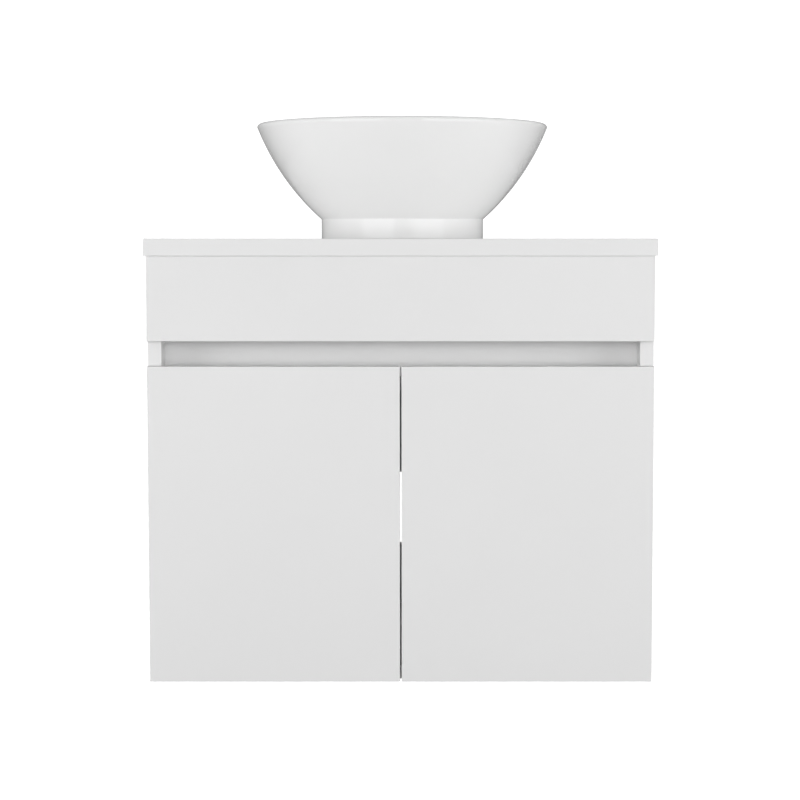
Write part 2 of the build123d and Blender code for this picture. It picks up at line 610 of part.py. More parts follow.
for name, side in SIDES:
    edge_x = side * FRONT_X
    free_x = side * DOOR_SPLIT / 2
    bumper_x = side * (DOOR_SPLIT / 2 + BUMPER_IN)
    cup_x = side * (FRONT_X - CUP_U)
    inward = (-side, 0, 0)
    outward = (side, 0, 0)

    with BuildPart() as door:
        board(sorted((edge_x, free_x)), (FRONT_Y, DOOR_BACK_Y), (Z_BASE, DOOR_TOP))
        front = door.faces().sort_by(Axis.Y)[0]
        fillet(front.edges(), DOOR_EDGE_R)
        for z in HINGE_Z:
            rod((cup_x, DOOR_BACK_Y, z), (0, -1, 0), CUP_R, CUP_DEPTH, Mode.SUBTRACT)
            for s in (-1, 1):
                at = (cup_x, DOOR_BACK_Y + FLANGE_TH, z + s * CUP_SCREW_Z)
                screw_hole(at, (0, -1, 0), FLANGE_TH + SHORT_SCREW_BITE)
    save(door, f"door_{name}")

    with BuildPart() as hinge_cups:
        for z in HINGE_Z:
            rod((cup_x, DOOR_BACK_Y, z), (0, -1, 0), CUP_OUT_R, CUP_DEPTH - CUP_FIT)
            flange_x = sorted((edge_x - side * FLANGE_U0, edge_x - side * FLANGE_U1))
            board(flange_x, (DOOR_BACK_Y, DOOR_BACK_Y + FLANGE_TH), (z - FLANGE_HALF_Z, z + FLANGE_HALF_Z))
            hollow = CUP_DEPTH - CUP_FIT - CUP_WALL + FLANGE_TH
            rod((cup_x, DOOR_BACK_Y + FLANGE_TH, z), (0, -1, 0), CUP_IN_R, hollow, Mode.SUBTRACT)
            for s in (-1, 1):
                at = (cup_x, DOOR_BACK_Y + FLANGE_TH, z + s * CUP_SCREW_Z)
                screw_hole(at, (0, -1, 0), SHORT_SCREW_BITE)
            pin_x, pin_y = plan(side, CUP_PIN)
            rod((pin_x, pin_y, z - CUP_PIN_HALF), (0, 0, 1), PIN_R, 2 * CUP_PIN_HALF)
    save(hinge_cups, f"hinge_cups_{name}")

    with BuildPart() as cup_screws:
        for z in HINGE_Z:
            for s in (-1, 1):
                at = (cup_x, DOOR_BACK_Y + FLANGE_TH, z + s * CUP_SCREW_Z)
                screw(at, (0, -1, 0), FLANGE_TH + SHORT_SCREW_BITE)
    save(cup_screws, f"cup_screws_{name}")

    with BuildPart() as door_bumpers:
        for z in (Z_BASE + PANEL_T / 2, SHELF_TOP - PANEL_T / 2):
            rod((bumper_x, DOOR_BACK_Y, z), (0, 1, 0), BUMPER_R, DOOR_AIR - BUMPER_AIR)
    save(door_bumpers, f"door_bumpers_{name}")

    with BuildPart() as hinge_links:
        for z in HINGE_Z:
            with BuildSketch(Plane.XY.offset(z - LINK_HALF_Z)):
                bar(side, ARM_PIN, LINK_CRANK, LINK_T)
                bar(side, LINK_CRANK, CUP_PIN, LINK_T)
                disc(side, LINK_CRANK, LINK_T / 2)
                disc(side, ARM_PIN, EYE_R)
                disc(side, CUP_PIN, EYE_R)
                disc(side, ARM_PIN, PIN_R + PIN_RUN, Mode.SUBTRACT)
                disc(side, CUP_PIN, PIN_R + PIN_RUN, Mode.SUBTRACT)
            extrude(amount=2 * LINK_HALF_Z)
    save(hinge_links, f"hinge_links_{name}")

    with BuildPart() as hinge_arms:
        for z in HINGE_Z:
            for low in (z - ARM_HALF_Z, z + CHEEK_Z):
                with BuildSketch(Plane.XY.offset(low)):
                    bar(side, ARM_PIN, NECK_END, NECK_W)
                    disc(side, ARM_PIN, NECK_W / 2)
                    middle_u = (ARM_U0 + ARM_U1) / 2
                    bar(side, (middle_u, ARM_V0), (middle_u, ARM_V1), ARM_U1 - ARM_U0)
                extrude(amount=CHEEK_T)
            web_x = sorted((edge_x - side * ARM_U1, edge_x - side * (ARM_U1 - ARM_WEB_T)))
            board(web_x, (FRONT_Y + ARM_V0, FRONT_Y + ARM_V1), (z - ARM_HALF_Z, z + ARM_HALF_Z))
            pin_x, pin_y = plan(side, ARM_PIN)
            rod((pin_x, pin_y, z - ARM_HALF_Z), (0, 0, 1), PIN_R, 2 * ARM_HALF_Z)
    save(hinge_arms, f"hinge_arms_{name}")

    with BuildPart() as hinge_plates:
        for z in HINGE_Z:
            on_panel = sorted((side * INNER_X, side * (INNER_X - PLATE_T)))
            board(on_panel, (FRONT_Y + PLATE_V0, FRONT_Y + PLATE_V1), (z - PLATE_HALF_Z, z + PLATE_HALF_Z))
            rib_x = sorted((side * INNER_X, edge_x - side * (ARM_U1 - ARM_WEB_T)))
            board(rib_x, (FRONT_Y + ARM_V0, FRONT_Y + ARM_V1), (z - CHEEK_Z, z + CHEEK_Z))
            for s in (-1, 1):
                at = (side * (INNER_X - PLATE_T), PLATE_MID_Y, z + s * PLATE_SCREW_Z)
                screw_hole(at, outward, PLATE_T + SHORT_SCREW_BITE)
    save(hinge_plates, f"hinge_plates_{name}")

    with BuildPart() as plate_screws:
        for z in HINGE_Z:
            for s in (-1, 1):
                at = (side * (INNER_X - PLATE_T), PLATE_MID_Y, z + s * PLATE_SCREW_Z)
                screw(at, outward, PLATE_T + SHORT_SCREW_BITE)
    save(plate_screws, f"plate_screws_{name}")
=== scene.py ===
# %% [markdown]
# # A vessel basin on a wall-hung vanity
#
# The real object is a bathroom cabinet that hangs on a wall. A slab benchtop lies on it, a round
# glazed basin stands on the benchtop, and two plain doors hang in front on concealed hinges. The
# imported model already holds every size, joint and place, so it is loaded first and never moved.
# What is left is how it looks: finishes for every piece, and new meshes for the pieces whose
# curves and edges the plain model shows too coarsely.

import json
from math import atan2, cos, pi, radians, sin, sqrt, tau

import bmesh
import bpy
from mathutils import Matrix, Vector


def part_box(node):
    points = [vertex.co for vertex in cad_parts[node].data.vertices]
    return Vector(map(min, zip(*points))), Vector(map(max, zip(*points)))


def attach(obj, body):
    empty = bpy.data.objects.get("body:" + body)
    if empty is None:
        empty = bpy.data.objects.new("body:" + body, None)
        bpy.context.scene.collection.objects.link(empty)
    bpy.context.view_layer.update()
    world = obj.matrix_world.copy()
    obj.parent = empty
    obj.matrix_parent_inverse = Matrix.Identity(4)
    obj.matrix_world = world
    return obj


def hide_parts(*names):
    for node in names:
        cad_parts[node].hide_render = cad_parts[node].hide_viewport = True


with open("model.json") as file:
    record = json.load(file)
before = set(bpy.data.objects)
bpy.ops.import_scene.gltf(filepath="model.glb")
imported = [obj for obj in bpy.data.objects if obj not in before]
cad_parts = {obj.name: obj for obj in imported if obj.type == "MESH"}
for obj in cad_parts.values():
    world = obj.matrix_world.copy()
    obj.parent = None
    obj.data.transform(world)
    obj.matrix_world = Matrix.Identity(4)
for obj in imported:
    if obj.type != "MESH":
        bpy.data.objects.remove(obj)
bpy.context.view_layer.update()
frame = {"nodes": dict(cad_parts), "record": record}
NODES = frame["nodes"]
BODIES = frame["record"]["behaviour"]["bodies"]
BODY_OF = {node: body for body, members in BODIES.items() for node in members}
SLOT_OF = {row["node"]: row["material_slot"] for row in frame["record"]["subparts"]}
scene = bpy.context.scene

# %% [markdown]
# ## Where the viewer stands
#
# A product picture of a cabinet is taken with a long lens from a few metres away, so that upright
# edges stay upright. This camera stands in front of the doors, at the height of the benchtop and
# a little to the right of the middle, and looks down by a few degrees. Its lens is shifted
# sideways instead of turned, which keeps the doors square to the picture.

# %% Camera
EYE_FROM_DOORS = 2.330
EYE_ABOVE_BASE = 0.517
EYE_ASIDE = 0.025
EYE_TILT = radians(4.46)
LENS_MM = 89.64
LENS_SHIFT = -0.0274  # sideways, as a share of the picture's width

door_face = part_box("door_left")[0].y
base_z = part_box("bottom_panel")[0].z
camera_data = bpy.data.cameras.new("camera")
camera_data.lens = LENS_MM
camera_data.shift_x = LENS_SHIFT
camera = bpy.data.objects.new("camera", camera_data)
camera.location = (EYE_ASIDE, door_face - EYE_FROM_DOORS, base_z + EYE_ABOVE_BASE)
camera.rotation_euler = (pi / 2 - EYE_TILT, 0, 0)
scene.collection.objects.link(camera)
scene.camera = camera
scene.view_settings.view_transform = "Standard"
print("camera at", [round(value, 4) for value in camera.location])

# %% [markdown]
# ## Studio
#
# White on white only reads through soft differences of light. Most of the light here comes from
# three wide, low panels round the front, which reach into the finger recess and along the sides
# of the bowl. A dim cove, brightest overhead, fills in what they leave, so the rounded sides turn
# away into a little shade. It could all be one bright dome, but a dome lights every side alike
# and the bowl would go flat. The camera sees the cove as plain white, which a Light Path node in
# the world shader allows without changing how the cove lights the object.

# %% Helpers for nodes
def add(tree, kind, **settings):
    """A new node in a tree, with its properties set."""
    node = tree.nodes.new(kind)
    for name, value in settings.items():
        setattr(node, name, value)
    return node


def put(node, **values):
    """Sets a node's unlinked inputs, by name with underscores for spaces."""
    for name, value in values.items():
        node.inputs[name.replace("_", " ")].default_value = value
    return node


print("node helpers ready")

# %% Cove
COVE_FRONT = 0.06  # brightness by direction
COVE_SIDE = 0.14
COVE_BACK = 0.16
COVE_TOP = 0.34  # added straight above
COVE_SHINE = 1.5  # how much brighter the cove is in reflections
COVE_SEEN = 1.2  # to the camera

world = bpy.data.worlds.new("studio")
scene.world = world
world.use_nodes = True
sky = world.node_tree
sky.nodes.clear()

# from front to back, and upwards
way = add(sky, "ShaderNodeTexCoord")
parts = add(sky, "ShaderNodeSeparateXYZ")
depth = add(sky, "ShaderNodeValToRGB")
depth.color_ramp.elements.new(0.5)
depth.color_ramp.interpolation = "EASE"
for stop, glow_there in zip(depth.color_ramp.elements, (COVE_FRONT, COVE_SIDE, COVE_BACK)):
    stop.color = (glow_there, glow_there, glow_there, 1)
share = put(add(sky, "ShaderNodeMapRange"), From_Min=-1.0, From_Max=1.0)
height = put(add(sky, "ShaderNodeMapRange"), From_Min=0.0, From_Max=1.0, To_Min=0.0, To_Max=COVE_TOP)
total = add(sky, "ShaderNodeMath", operation="ADD")

# by the kind of ray that looks
seen = add(sky, "ShaderNodeLightPath")
shine = put(add(sky, "ShaderNodeMapRange"), To_Min=1.0, To_Max=COVE_SHINE)
lit = add(sky, "ShaderNodeMath", operation="MULTIPLY")
choose = add(sky, "ShaderNodeMix", data_type="FLOAT")
choose.inputs["B"].default_value = COVE_SEEN
glow = put(add(sky, "ShaderNodeBackground"), Color=(1, 1, 1, 1))
sky_out = add(sky, "ShaderNodeOutputWorld")

wire = sky.links.new
wire(way.outputs["Generated"], parts.inputs[0])
wire(parts.outputs["Y"], share.inputs["Value"])
wire(share.outputs[0], depth.inputs["Fac"])
wire(parts.outputs["Z"], height.inputs["Value"])
wire(depth.outputs["Color"], total.inputs[0])
wire(height.outputs[0], total.inputs[1])
wire(seen.outputs["Is Glossy Ray"], shine.inputs["Value"])
wire(total.outputs[0], lit.inputs[0])
wire(shine.outputs[0], lit.inputs[1])
wire(seen.outputs["Is Camera Ray"], choose.inputs["Factor"])
wire(lit.outputs[0], choose.inputs["A"])
wire(choose.outputs[0], glow.inputs["Strength"])
wire(glow.outputs[0], sky_out.inputs["Surface"])
print("cove", COVE_FRONT, "in front,", COVE_BACK, "behind,", COVE_TOP, "more above")

# %% [markdown]
# ### Light panels
#
# Two tall panels left and right of the camera are there for their reflections only: they are the
# two upright bands on the glazed foot. A glossy cylinder shows a panel at half its angle, so each
# band's edges on the foot say where its panel begins and ends. The three low panels are the other
# way round: they light the boards and the bowl, and hide from reflections, which keeps the bands
# clean. A real studio does both with flags and grids.

# %% Light panels
PANEL_AWAY = 2.6  # from the basin's axis
BANDS = (("band_left", -58.0, -9.0), ("band_right", 13.0, 62.0))  # degrees to the right of the front
BAND_HIGH = 2.2
BAND_MID_Z = 0.35
BAND_GLOW = 1.3
FILL_SIZE = (1.8, 0.8)
FILL_Z = 0.12
FILLS = (("fill_left", -68.0, 7.4), ("fill_front", 0.0, 5.6), ("fill_right", 68.0, 7.4))  # degrees, glow

basin_low, basin_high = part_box("basin")
basin_mid = (basin_low + basin_high) / 2


def light_panel(name, turn, wide, high, z, glow):
    """An upright panel that faces the basin's axis from a turn to the right of the front."""
    data = bpy.data.lights.new(name, "AREA")
    data.shape = "RECTANGLE"
    data.size = wide
    data.size_y = high
    data.energy = glow * pi * wide * high
    panel = bpy.data.objects.new(name, data)
    panel.location = (basin_mid.x + sin(turn) * PANEL_AWAY, basin_mid.y - cos(turn) * PANEL_AWAY, z)
    panel.rotation_euler = (pi / 2, 0, turn)
    panel.visible_camera = False
    scene.collection.objects.link(panel)
    return panel


for name, from_angle, to_angle in BANDS:
    band_wide = 2 * PANEL_AWAY * sin(radians(to_angle - from_angle) / 2)
    middle = radians((from_angle + to_angle) / 2)
    band = light_panel(name, middle, band_wide, BAND_HIGH, BAND_MID_Z, BAND_GLOW)
    band.visible_diffuse = False
    print(name, round(band_wide, 3), "m wide")

for name, turn, glow_there in FILLS:
    fill = light_panel(name, radians(turn), *FILL_SIZE, FILL_Z, glow_there)
    fill.visible_glossy = False
    print(name, "glows", glow_there)

# %% [markdown]
# ### Floor
#
# The cabinet hangs on a wall, with a pale floor some way below that sends a little light back up
# to its underside. A plane is enough. Seen from the front its far edge would draw a line across
# the picture, so it glows for camera rays alone, and meets the white cove.

# %% Floor
FLOOR_DROP = 0.33  # the cabinet hangs this far above the floor
FLOOR_HALF = 9.0
FLOOR_TONE = 0.30
FLOOR_GLOW = 1.10  # to the camera only
FLOOR_CORNERS = ((-1, -1), (1, -1), (1, 1), (-1, 1))


def plain_mesh(name, vertices, faces):
    """A mesh object at the origin, from points and faces."""
    mesh = bpy.data.meshes.new(name)
    mesh.from_pydata(vertices, [], faces)
    made = bpy.data.objects.new(name, mesh)
    scene.collection.objects.link(made)
    return made


floor_z = base_z - FLOOR_DROP
corners = [(x * FLOOR_HALF, y * FLOOR_HALF, floor_z) for x, y in FLOOR_CORNERS]
floor = plain_mesh("floor", corners, [(0, 1, 2, 3)])
floor_paint = bpy.data.materials.new("pale_floor")
floor_paint.use_nodes = True
floor_shader = floor_paint.node_tree.nodes["Principled BSDF"]
put(floor_shader, Base_Color=(FLOOR_TONE,) * 3 + (1,), Roughness=0.9, Emission_Color=(1, 1, 1, 1))
floor_seen = add(floor_paint.node_tree, "ShaderNodeLightPath")
floor_glow = add(floor_paint.node_tree, "ShaderNodeMath", operation="MULTIPLY")
floor_glow.inputs[1].default_value = FLOOR_GLOW
floor_paint.node_tree.links.new(floor_seen.outputs["Is Camera Ray"], floor_glow.inputs[0])
floor_paint.node_tree.links.new(floor_glow.outputs[0], floor_shader.inputs["Emission Strength"])
floor.data.materials.append(floor_paint)
print("floor at", round(floor_z, 3))

# %% [markdown]
# ## Effects that several finishes share
#
# No real surface is one flat colour. Sprayed lacquer dries with a faint pebbled skin, colour and
# gloss drift slowly over a board, fired glaze has a few pinholes, and metal carries fine marks
# from handling. Each of these is a node group that works from a point's place on the object, so
# it needs no picture and shows no seam. A group only puts out heights, values and masks: the
# shader that turns them into light stays in each material.

# %% Helpers for shader groups
NOISE_SPREAD = (0.3, 0.7)  # noise seldom leaves this range
MARK_EDGE = 0.06  # how softly a mark begins


def shader_group(name, inputs, output):
    """An empty shader group with named number inputs and one number output."""
    tree = bpy.data.node_groups.new(name, "ShaderNodeTree")
    for label, value in inputs.items():
        kind = "NodeSocketVector" if isinstance(value, tuple) else "NodeSocketFloat"
        socket = tree.interface.new_socket(label, in_out="INPUT", socket_type=kind)
        socket.default_value = value
    tree.interface.new_socket(output, in_out="OUTPUT", socket_type="NodeSocketFloat")
    return tree, add(tree, "NodeGroupInput"), add(tree, "NodeGroupOutput")


def noise_in(tree, source, detail):
    """Noise over the object, as fine as the group's Size input and stretched by its Stretch."""
    place = add(tree, "ShaderNodeTexCoord")
    stretch = add(tree, "ShaderNodeVectorMath", operation="MULTIPLY")
    scale = add(tree, "ShaderNodeMath", operation="DIVIDE")
    scale.inputs[0].default_value = 1.0
    noise = put(add(tree, "ShaderNodeTexNoise"), Detail=detail, Roughness=0.55)
    tree.links.new(place.outputs["Object"], stretch.inputs[0])
    tree.links.new(source.outputs["Stretch"], stretch.inputs[1])
    tree.links.new(source.outputs["Size"], scale.inputs[1])
    tree.links.new(stretch.outputs[0], noise.inputs["Vector"])
    tree.links.new(scale.outputs[0], noise.inputs["Scale"])
    return noise


# %% Skin and drift
def make_skin():
    """Height of a fine pebbled or brushed skin."""
    tree, source, out = shader_group("skin", {"Size": 0.001, "Stretch": (1.0, 1.0, 1.0)}, "Height")
    noise = noise_in(tree, source, 2.0)
    tree.links.new(noise.outputs[0], out.inputs["Height"])
    return tree


def make_drift():
    """A value that wanders slowly between Low and High."""
    inputs = {"Size": 0.1, "Stretch": (1.0, 1.0, 1.0), "Low": 0.0, "High": 1.0}
    tree, source, out = shader_group("drift", inputs, "Value")
    noise = noise_in(tree, source, 4.0)
    spread = put(add(tree, "ShaderNodeMapRange"), From_Min=NOISE_SPREAD[0], From_Max=NOISE_SPREAD[1])
    tree.links.new(noise.outputs[0], spread.inputs["Value"])
    tree.links.new(source.outputs["Low"], spread.inputs["To Min"])
    tree.links.new(source.outputs["High"], spread.inputs["To Max"])
    tree.links.new(spread.outputs[0], out.inputs["Value"])
    return tree


# %% Marks and pinholes
def make_marks():
    """A mask of thin marks: the crests of a stretched noise above Level."""
    inputs = {"Size": 0.01, "Stretch": (1.0, 1.0, 1.0), "Level": 0.62}
    tree, source, out = shader_group("marks", inputs, "Mask")
    noise = noise_in(tree, source, 3.0)
    crest = put(add(tree, "ShaderNodeMapRange"), To_Min=0.0, To_Max=1.0)
    above = add(tree, "ShaderNodeMath", operation="ADD")
    above.inputs[1].default_value = MARK_EDGE
    tree.links.new(source.outputs["Level"], above.inputs[0])
    tree.links.new(source.outputs["Level"], crest.inputs["From Min"])
    tree.links.new(above.outputs[0], crest.inputs["From Max"])
    tree.links.new(noise.outputs[0], crest.inputs["Value"])
    tree.links.new(crest.outputs[0], out.inputs["Mask"])
    return tree


def make_pinholes():
    """A mask of rare round specks, at most one in each cell of Size."""
    tree, source, out = shader_group("pinholes", {"Size": 0.02, "Share": 0.03}, "Mask")
    place = add(tree, "ShaderNodeTexCoord")
    scale = add(tree, "ShaderNodeMath", operation="DIVIDE")
    scale.inputs[0].default_value = 1.0
    cells = add(tree, "ShaderNodeTexVoronoi")
    near = add(tree, "ShaderNodeMapRange")
    put(near, From_Min=0.0, To_Min=1.0, To_Max=0.0)
    tree.links.new(place.outputs["Object"], cells.inputs["Vector"])
    tree.links.new(source.outputs["Size"], scale.inputs[1])
    tree.links.new(scale.outputs[0], cells.inputs["Scale"])
    tree.links.new(cells.outputs["Distance"], near.inputs["Value"])
    tree.links.new(source.outputs["Share"], near.inputs["From Max"])
    tree.links.new(near.outputs[0], out.inputs["Mask"])
    return tree


SKIN, DRIFT, MARKS, PINHOLES = make_skin(), make_drift(), make_marks(), make_pinholes()
print("groups", [group.name for group in (SKIN, DRIFT, MARKS, PINHOLES)])

# %% [markdown]
# ### Wiring a finish
#
# Every material is one Principled shader with a few of those effects wired to it, always in the
# same ways, so a small class does the wiring: effect places a group, blend and darken make a
# colour from a mask, more raises a value where a mask is, use feeds a socket, and bump lays one
# relief over another. Written out node by node, eleven materials would hide what differs.

# %% Helpers for materials
class Finish:
    """One material: a Principled shader, with calls that lay the shared effects over it."""

    def __init__(self, name, **uniform):
        self.material = bpy.data.materials.new(name)
        self.material.use_nodes = True
        self.tree = self.material.node_tree
        self.shader = put(self.tree.nodes["Principled BSDF"], **uniform)
        self.height = None

    def effect(self, group, **values):
        """Places a shared group and returns its output."""
        node = add(self.tree, "ShaderNodeGroup", node_tree=group)
        put(node, **values)
        return node.outputs[0]

    def blend(self, mask, low, high):
        """A colour between two colours, by a mask."""
        mix = add(self.tree, "ShaderNodeMix", data_type="RGBA")
        mix.inputs["A"].default_value = (*low, 1)
        mix.inputs["B"].default_value = (*high, 1)
        self.tree.links.new(mask, mix.inputs["Factor"])
        return mix.outputs["Result"]

    def darken(self, colour, mask, tone):
        """The colour, with a darker tone where the mask is."""
        mix = add(self.tree, "ShaderNodeMix", data_type="RGBA")
        mix.inputs["B"].default_value = (*tone, 1)
        self.tree.links.new(colour, mix.inputs["A"])
        self.tree.links.new(mask, mix.inputs["Factor"])
        return mix.outputs["Result"]

    def more(self, value, mask, amount):
        """The value, raised by an amount where the mask is."""
        raised = add(self.tree, "ShaderNodeMath", operation="MULTIPLY_ADD")
        raised.inputs[1].default_value = amount
        self.tree.links.new(mask, raised.inputs[0])
        self.tree.links.new(value, raised.inputs[2])
        return raised.outputs[0]

    def use(self, output, socket):
        """Feeds one of the shader's sockets."""
        self.tree.links.new(output, self.shader.inputs[socket])

    def bump(self, output, distance):
        """Lays one more layer of relief over the ones before it."""
        bump = add(self.tree, "ShaderNodeBump")
        bump.inputs["Distance"].default_value = distance
        self.tree.links.new(output, bump.inputs["Height"])
        if self.height:
            self.tree.links.new(self.height, bump.inputs["Normal"])
        self.height = bump.outputs[0]
        self.use(self.height, "Normal")


def grey(value):
    """A colour with no hue."""
    return (value, value, value)


ALONG_X = (0.03, 1.0, 1.0)  # stretches an effect out along X
ALONG_Z = (1.0, 1.0, 0.03)
print("material helpers ready")

# %% [markdown]
# ## White finishes
#
# The boards are white lacquer over fibreboard: satin, with a faint skin. The benchtop is the same
# lacquer rubbed out a little smoother. The basin is white glaze, much glossier, with a slow wave
# where the glaze ran before it set. All three could be one white, but then the eye would read one
# plastic casting, so they differ in gloss and skin and hardly in colour.

# %% Lacquered board
def white_board():
    look = Finish("white_board", Specular_IOR_Level=0.35)
    tone = look.effect(DRIFT, Size=0.18)
    look.use(look.blend(tone, grey(0.792), grey(0.804)), "Base Color")
    gloss = look.effect(DRIFT, Size=0.05, Low=0.40, High=0.50)
    rubbed = look.effect(MARKS, Size=0.05, Stretch=ALONG_X, Level=0.60)
    look.use(look.more(gloss, rubbed, 0.05), "Roughness")
    look.bump(look.effect(SKIN, Size=0.0011), 0.000010)
    look.bump(look.effect(SKIN, Size=0.09), 0.00010)
    return look.material


# %% Lacquered benchtop
def white_benchtop():
    look = Finish("white_benchtop", Specular_IOR_Level=0.4)
    tone = look.effect(DRIFT, Size=0.22)
    look.use(look.blend(tone, grey(0.786), grey(0.796)), "Base Color")
    gloss = look.effect(DRIFT, Size=0.06, Low=0.30, High=0.38)
    wiped = look.effect(MARKS, Size=0.07, Stretch=ALONG_X, Level=0.58)
    look.use(look.more(gloss, wiped, 0.06), "Roughness")
    look.bump(look.effect(SKIN, Size=0.0009), 0.000007)
    return look.material


# %% Glaze
def white_glaze():
    look = Finish("white_glaze", IOR=1.52, Coat_Weight=0.3, Coat_Roughness=0.03)
    tone = look.effect(DRIFT, Size=0.12)
    colour = look.blend(tone, (0.906, 0.908, 0.906), (0.918, 0.918, 0.916))
    holes = look.effect(PINHOLES, Size=0.017, Share=0.012)
    look.use(look.darken(colour, holes, (0.50, 0.46, 0.40)), "Base Color")
    look.use(look.effect(DRIFT, Size=0.04, Low=0.05, High=0.08), "Roughness")
    look.bump(look.effect(SKIN, Size=0.045), 0.00012)
    look.bump(look.effect(SKIN, Size=0.0016), 0.0000030)
    return look.material


# %% Silicone bead
def white_silicone():
    look = Finish("white_silicone", Subsurface_Weight=0.1)
    tone = look.effect(DRIFT, Size=0.01)
    look.use(look.blend(tone, (0.78, 0.78, 0.76), (0.84, 0.84, 0.83)), "Base Color")
    look.use(look.effect(DRIFT, Size=0.006, Low=0.30, High=0.42), "Roughness")
    look.bump(look.effect(SKIN, Size=0.004), 0.00005)
    return look.material


# %% [markdown]
# ## Metal, wood, rubber and plastic
#
# These show when a door opens or the basin is seen from above or below. Chrome is a mirror with a
# few wiped water marks. Nickel on pressed steel is softer, with the steel's rolling lines. Zinc
# is duller still and blooms in patches. The dowels are beech, with grain along their length.

# %% Chrome
def chrome_waste():
    look = Finish("chrome_waste", Metallic=1.0)
    marks = look.effect(MARKS, Size=0.006, Level=0.60)
    look.use(look.blend(marks, (0.80, 0.81, 0.82), (0.70, 0.71, 0.71)), "Base Color")
    gloss = look.effect(DRIFT, Size=0.012, Low=0.05, High=0.10)
    look.use(look.more(gloss, marks, 0.14), "Roughness")
    look.bump(look.effect(SKIN, Size=0.0012), 0.000002)
    return look.material


# %% Nickel-plated steel
def nickel_hinge():
    look = Finish("nickel_hinge", Metallic=1.0)
    tone = look.effect(DRIFT, Size=0.010)
    look.use(look.blend(tone, (0.60, 0.58, 0.55), (0.72, 0.71, 0.69)), "Base Color")
    gloss = look.effect(DRIFT, Size=0.008, Low=0.22, High=0.32)
    lines = look.effect(MARKS, Size=0.0015, Stretch=ALONG_Z, Level=0.54)
    look.use(look.more(gloss, lines, 0.12), "Roughness")
    look.bump(look.effect(SKIN, Size=0.0006, Stretch=ALONG_Z), 0.000010)
    return look.material


# %% Zinc-plated steel
def zinc_steel():
    look = Finish("zinc_steel", Metallic=1.0)
    bloom = look.effect(DRIFT, Size=0.004)
    look.use(look.blend(bloom, (0.50, 0.52, 0.55), (0.68, 0.69, 0.70)), "Base Color")
    gloss = look.effect(DRIFT, Size=0.003, Low=0.30, High=0.45)
    scuffs = look.effect(MARKS, Size=0.003, Level=0.58)
    look.use(look.more(gloss, scuffs, 0.15), "Roughness")
    look.bump(look.effect(SKIN, Size=0.0008), 0.000012)
    return look.material


# %% Beech
def beech():
    look = Finish("beech", Specular_IOR_Level=0.3)
    grain = look.effect(MARKS, Size=0.0016, Stretch=ALONG_X, Level=0.46)
    tone = look.effect(DRIFT, Size=0.02)
    colour = look.blend(tone, (0.62, 0.44, 0.27), (0.74, 0.56, 0.38))
    look.use(look.darken(colour, grain, (0.50, 0.33, 0.19)), "Base Color")
    look.use(look.effect(DRIFT, Size=0.004, Low=0.55, High=0.70), "Roughness")
    look.bump(look.effect(SKIN, Size=0.0007, Stretch=ALONG_X), 0.00004)
    return look.material


# %% Rubber and plastic
def black_rubber():
    look = Finish("black_rubber", Specular_IOR_Level=0.3)
    dusty = look.effect(DRIFT, Size=0.012)
    look.use(look.blend(dusty, grey(0.030), grey(0.055)), "Base Color")
    look.use(look.effect(DRIFT, Size=0.006, Low=0.62, High=0.78), "Roughness")
    look.bump(look.effect(SKIN, Size=0.0009), 0.000030)
    return look.material


def black_plastic():
    look = Finish("black_plastic", Specular_IOR_Level=0.45)
    tone = look.effect(DRIFT, Size=0.010)
    look.use(look.blend(tone, grey(0.040), grey(0.060)), "Base Color")
    look.use(look.effect(DRIFT, Size=0.004, Low=0.38, High=0.52), "Roughness")
    look.bump(look.effect(SKIN, Size=0.0005), 0.000012)
    return look.material


def clear_bumper():
    look = Finish("clear_bumper", IOR=1.45, Transmission_Weight=0.7)
    haze = look.effect(DRIFT, Size=0.003)
    look.use(look.blend(haze, grey(0.82), grey(0.90)), "Base Color")
    look.use(look.effect(DRIFT, Size=0.002, Low=0.22, High=0.34), "Roughness")
    look.bump(look.effect(SKIN, Size=0.0012), 0.000020)
    return look.material


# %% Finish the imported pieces
MAKERS = (
    white_board, white_benchtop, white_glaze, white_silicone, chrome_waste, nickel_hinge,
    zinc_steel, beech, black_rubber, black_plastic, clear_bumper,
)
MATERIALS = {maker.__name__: maker() for maker in MAKERS}
for node, made in NODES.items():
    made.data.materials.clear()
    made.data.materials.append(MATERIALS[SLOT_OF[node]])
print(len(MATERIALS), "materials on", len(NODES), "nodes")

# %% [markdown]
# ## Boards with eased edges
#
# A lacquered board never has a knife edge: it is sanded before it is sprayed, and that thin
# rounded line is what catches the light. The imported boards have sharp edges, except where the
# maker rounded the fronts. A copy of each board is cleaned of doubled points, its flat faces are
# joined up again, and a Bevel modifier eases what is sharp. Weighted normals keep the wide faces
# flat to the eye. The copy then stands for the board.

# %% Helpers for remade pieces
SAME_POINT = 1e-6  # metres
FLAT = radians(0.5)
SHARP = radians(50.0)
EASE_SEGMENTS = 2


def hand_over(piece, slot_name, *nodes):
    """Lets a finished piece stand for its CAD nodes and ride on their body."""
    if not piece.data.materials:
        piece.data.materials.append(MATERIALS[slot_name])
    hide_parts(*nodes)
    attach(piece, BODY_OF[nodes[0]])
    return piece


def settle(maker, name):
    """Turns an object with live modifiers into a plain mesh object, and removes the maker."""
    graph = bpy.context.evaluated_depsgraph_get()
    mesh = bpy.data.meshes.new_from_object(maker.evaluated_get(graph), depsgraph=graph)
    mesh.name = name
    piece = bpy.data.objects.new(name, mesh)
    scene.collection.objects.link(piece)
    bpy.data.objects.remove(maker)
    return piece


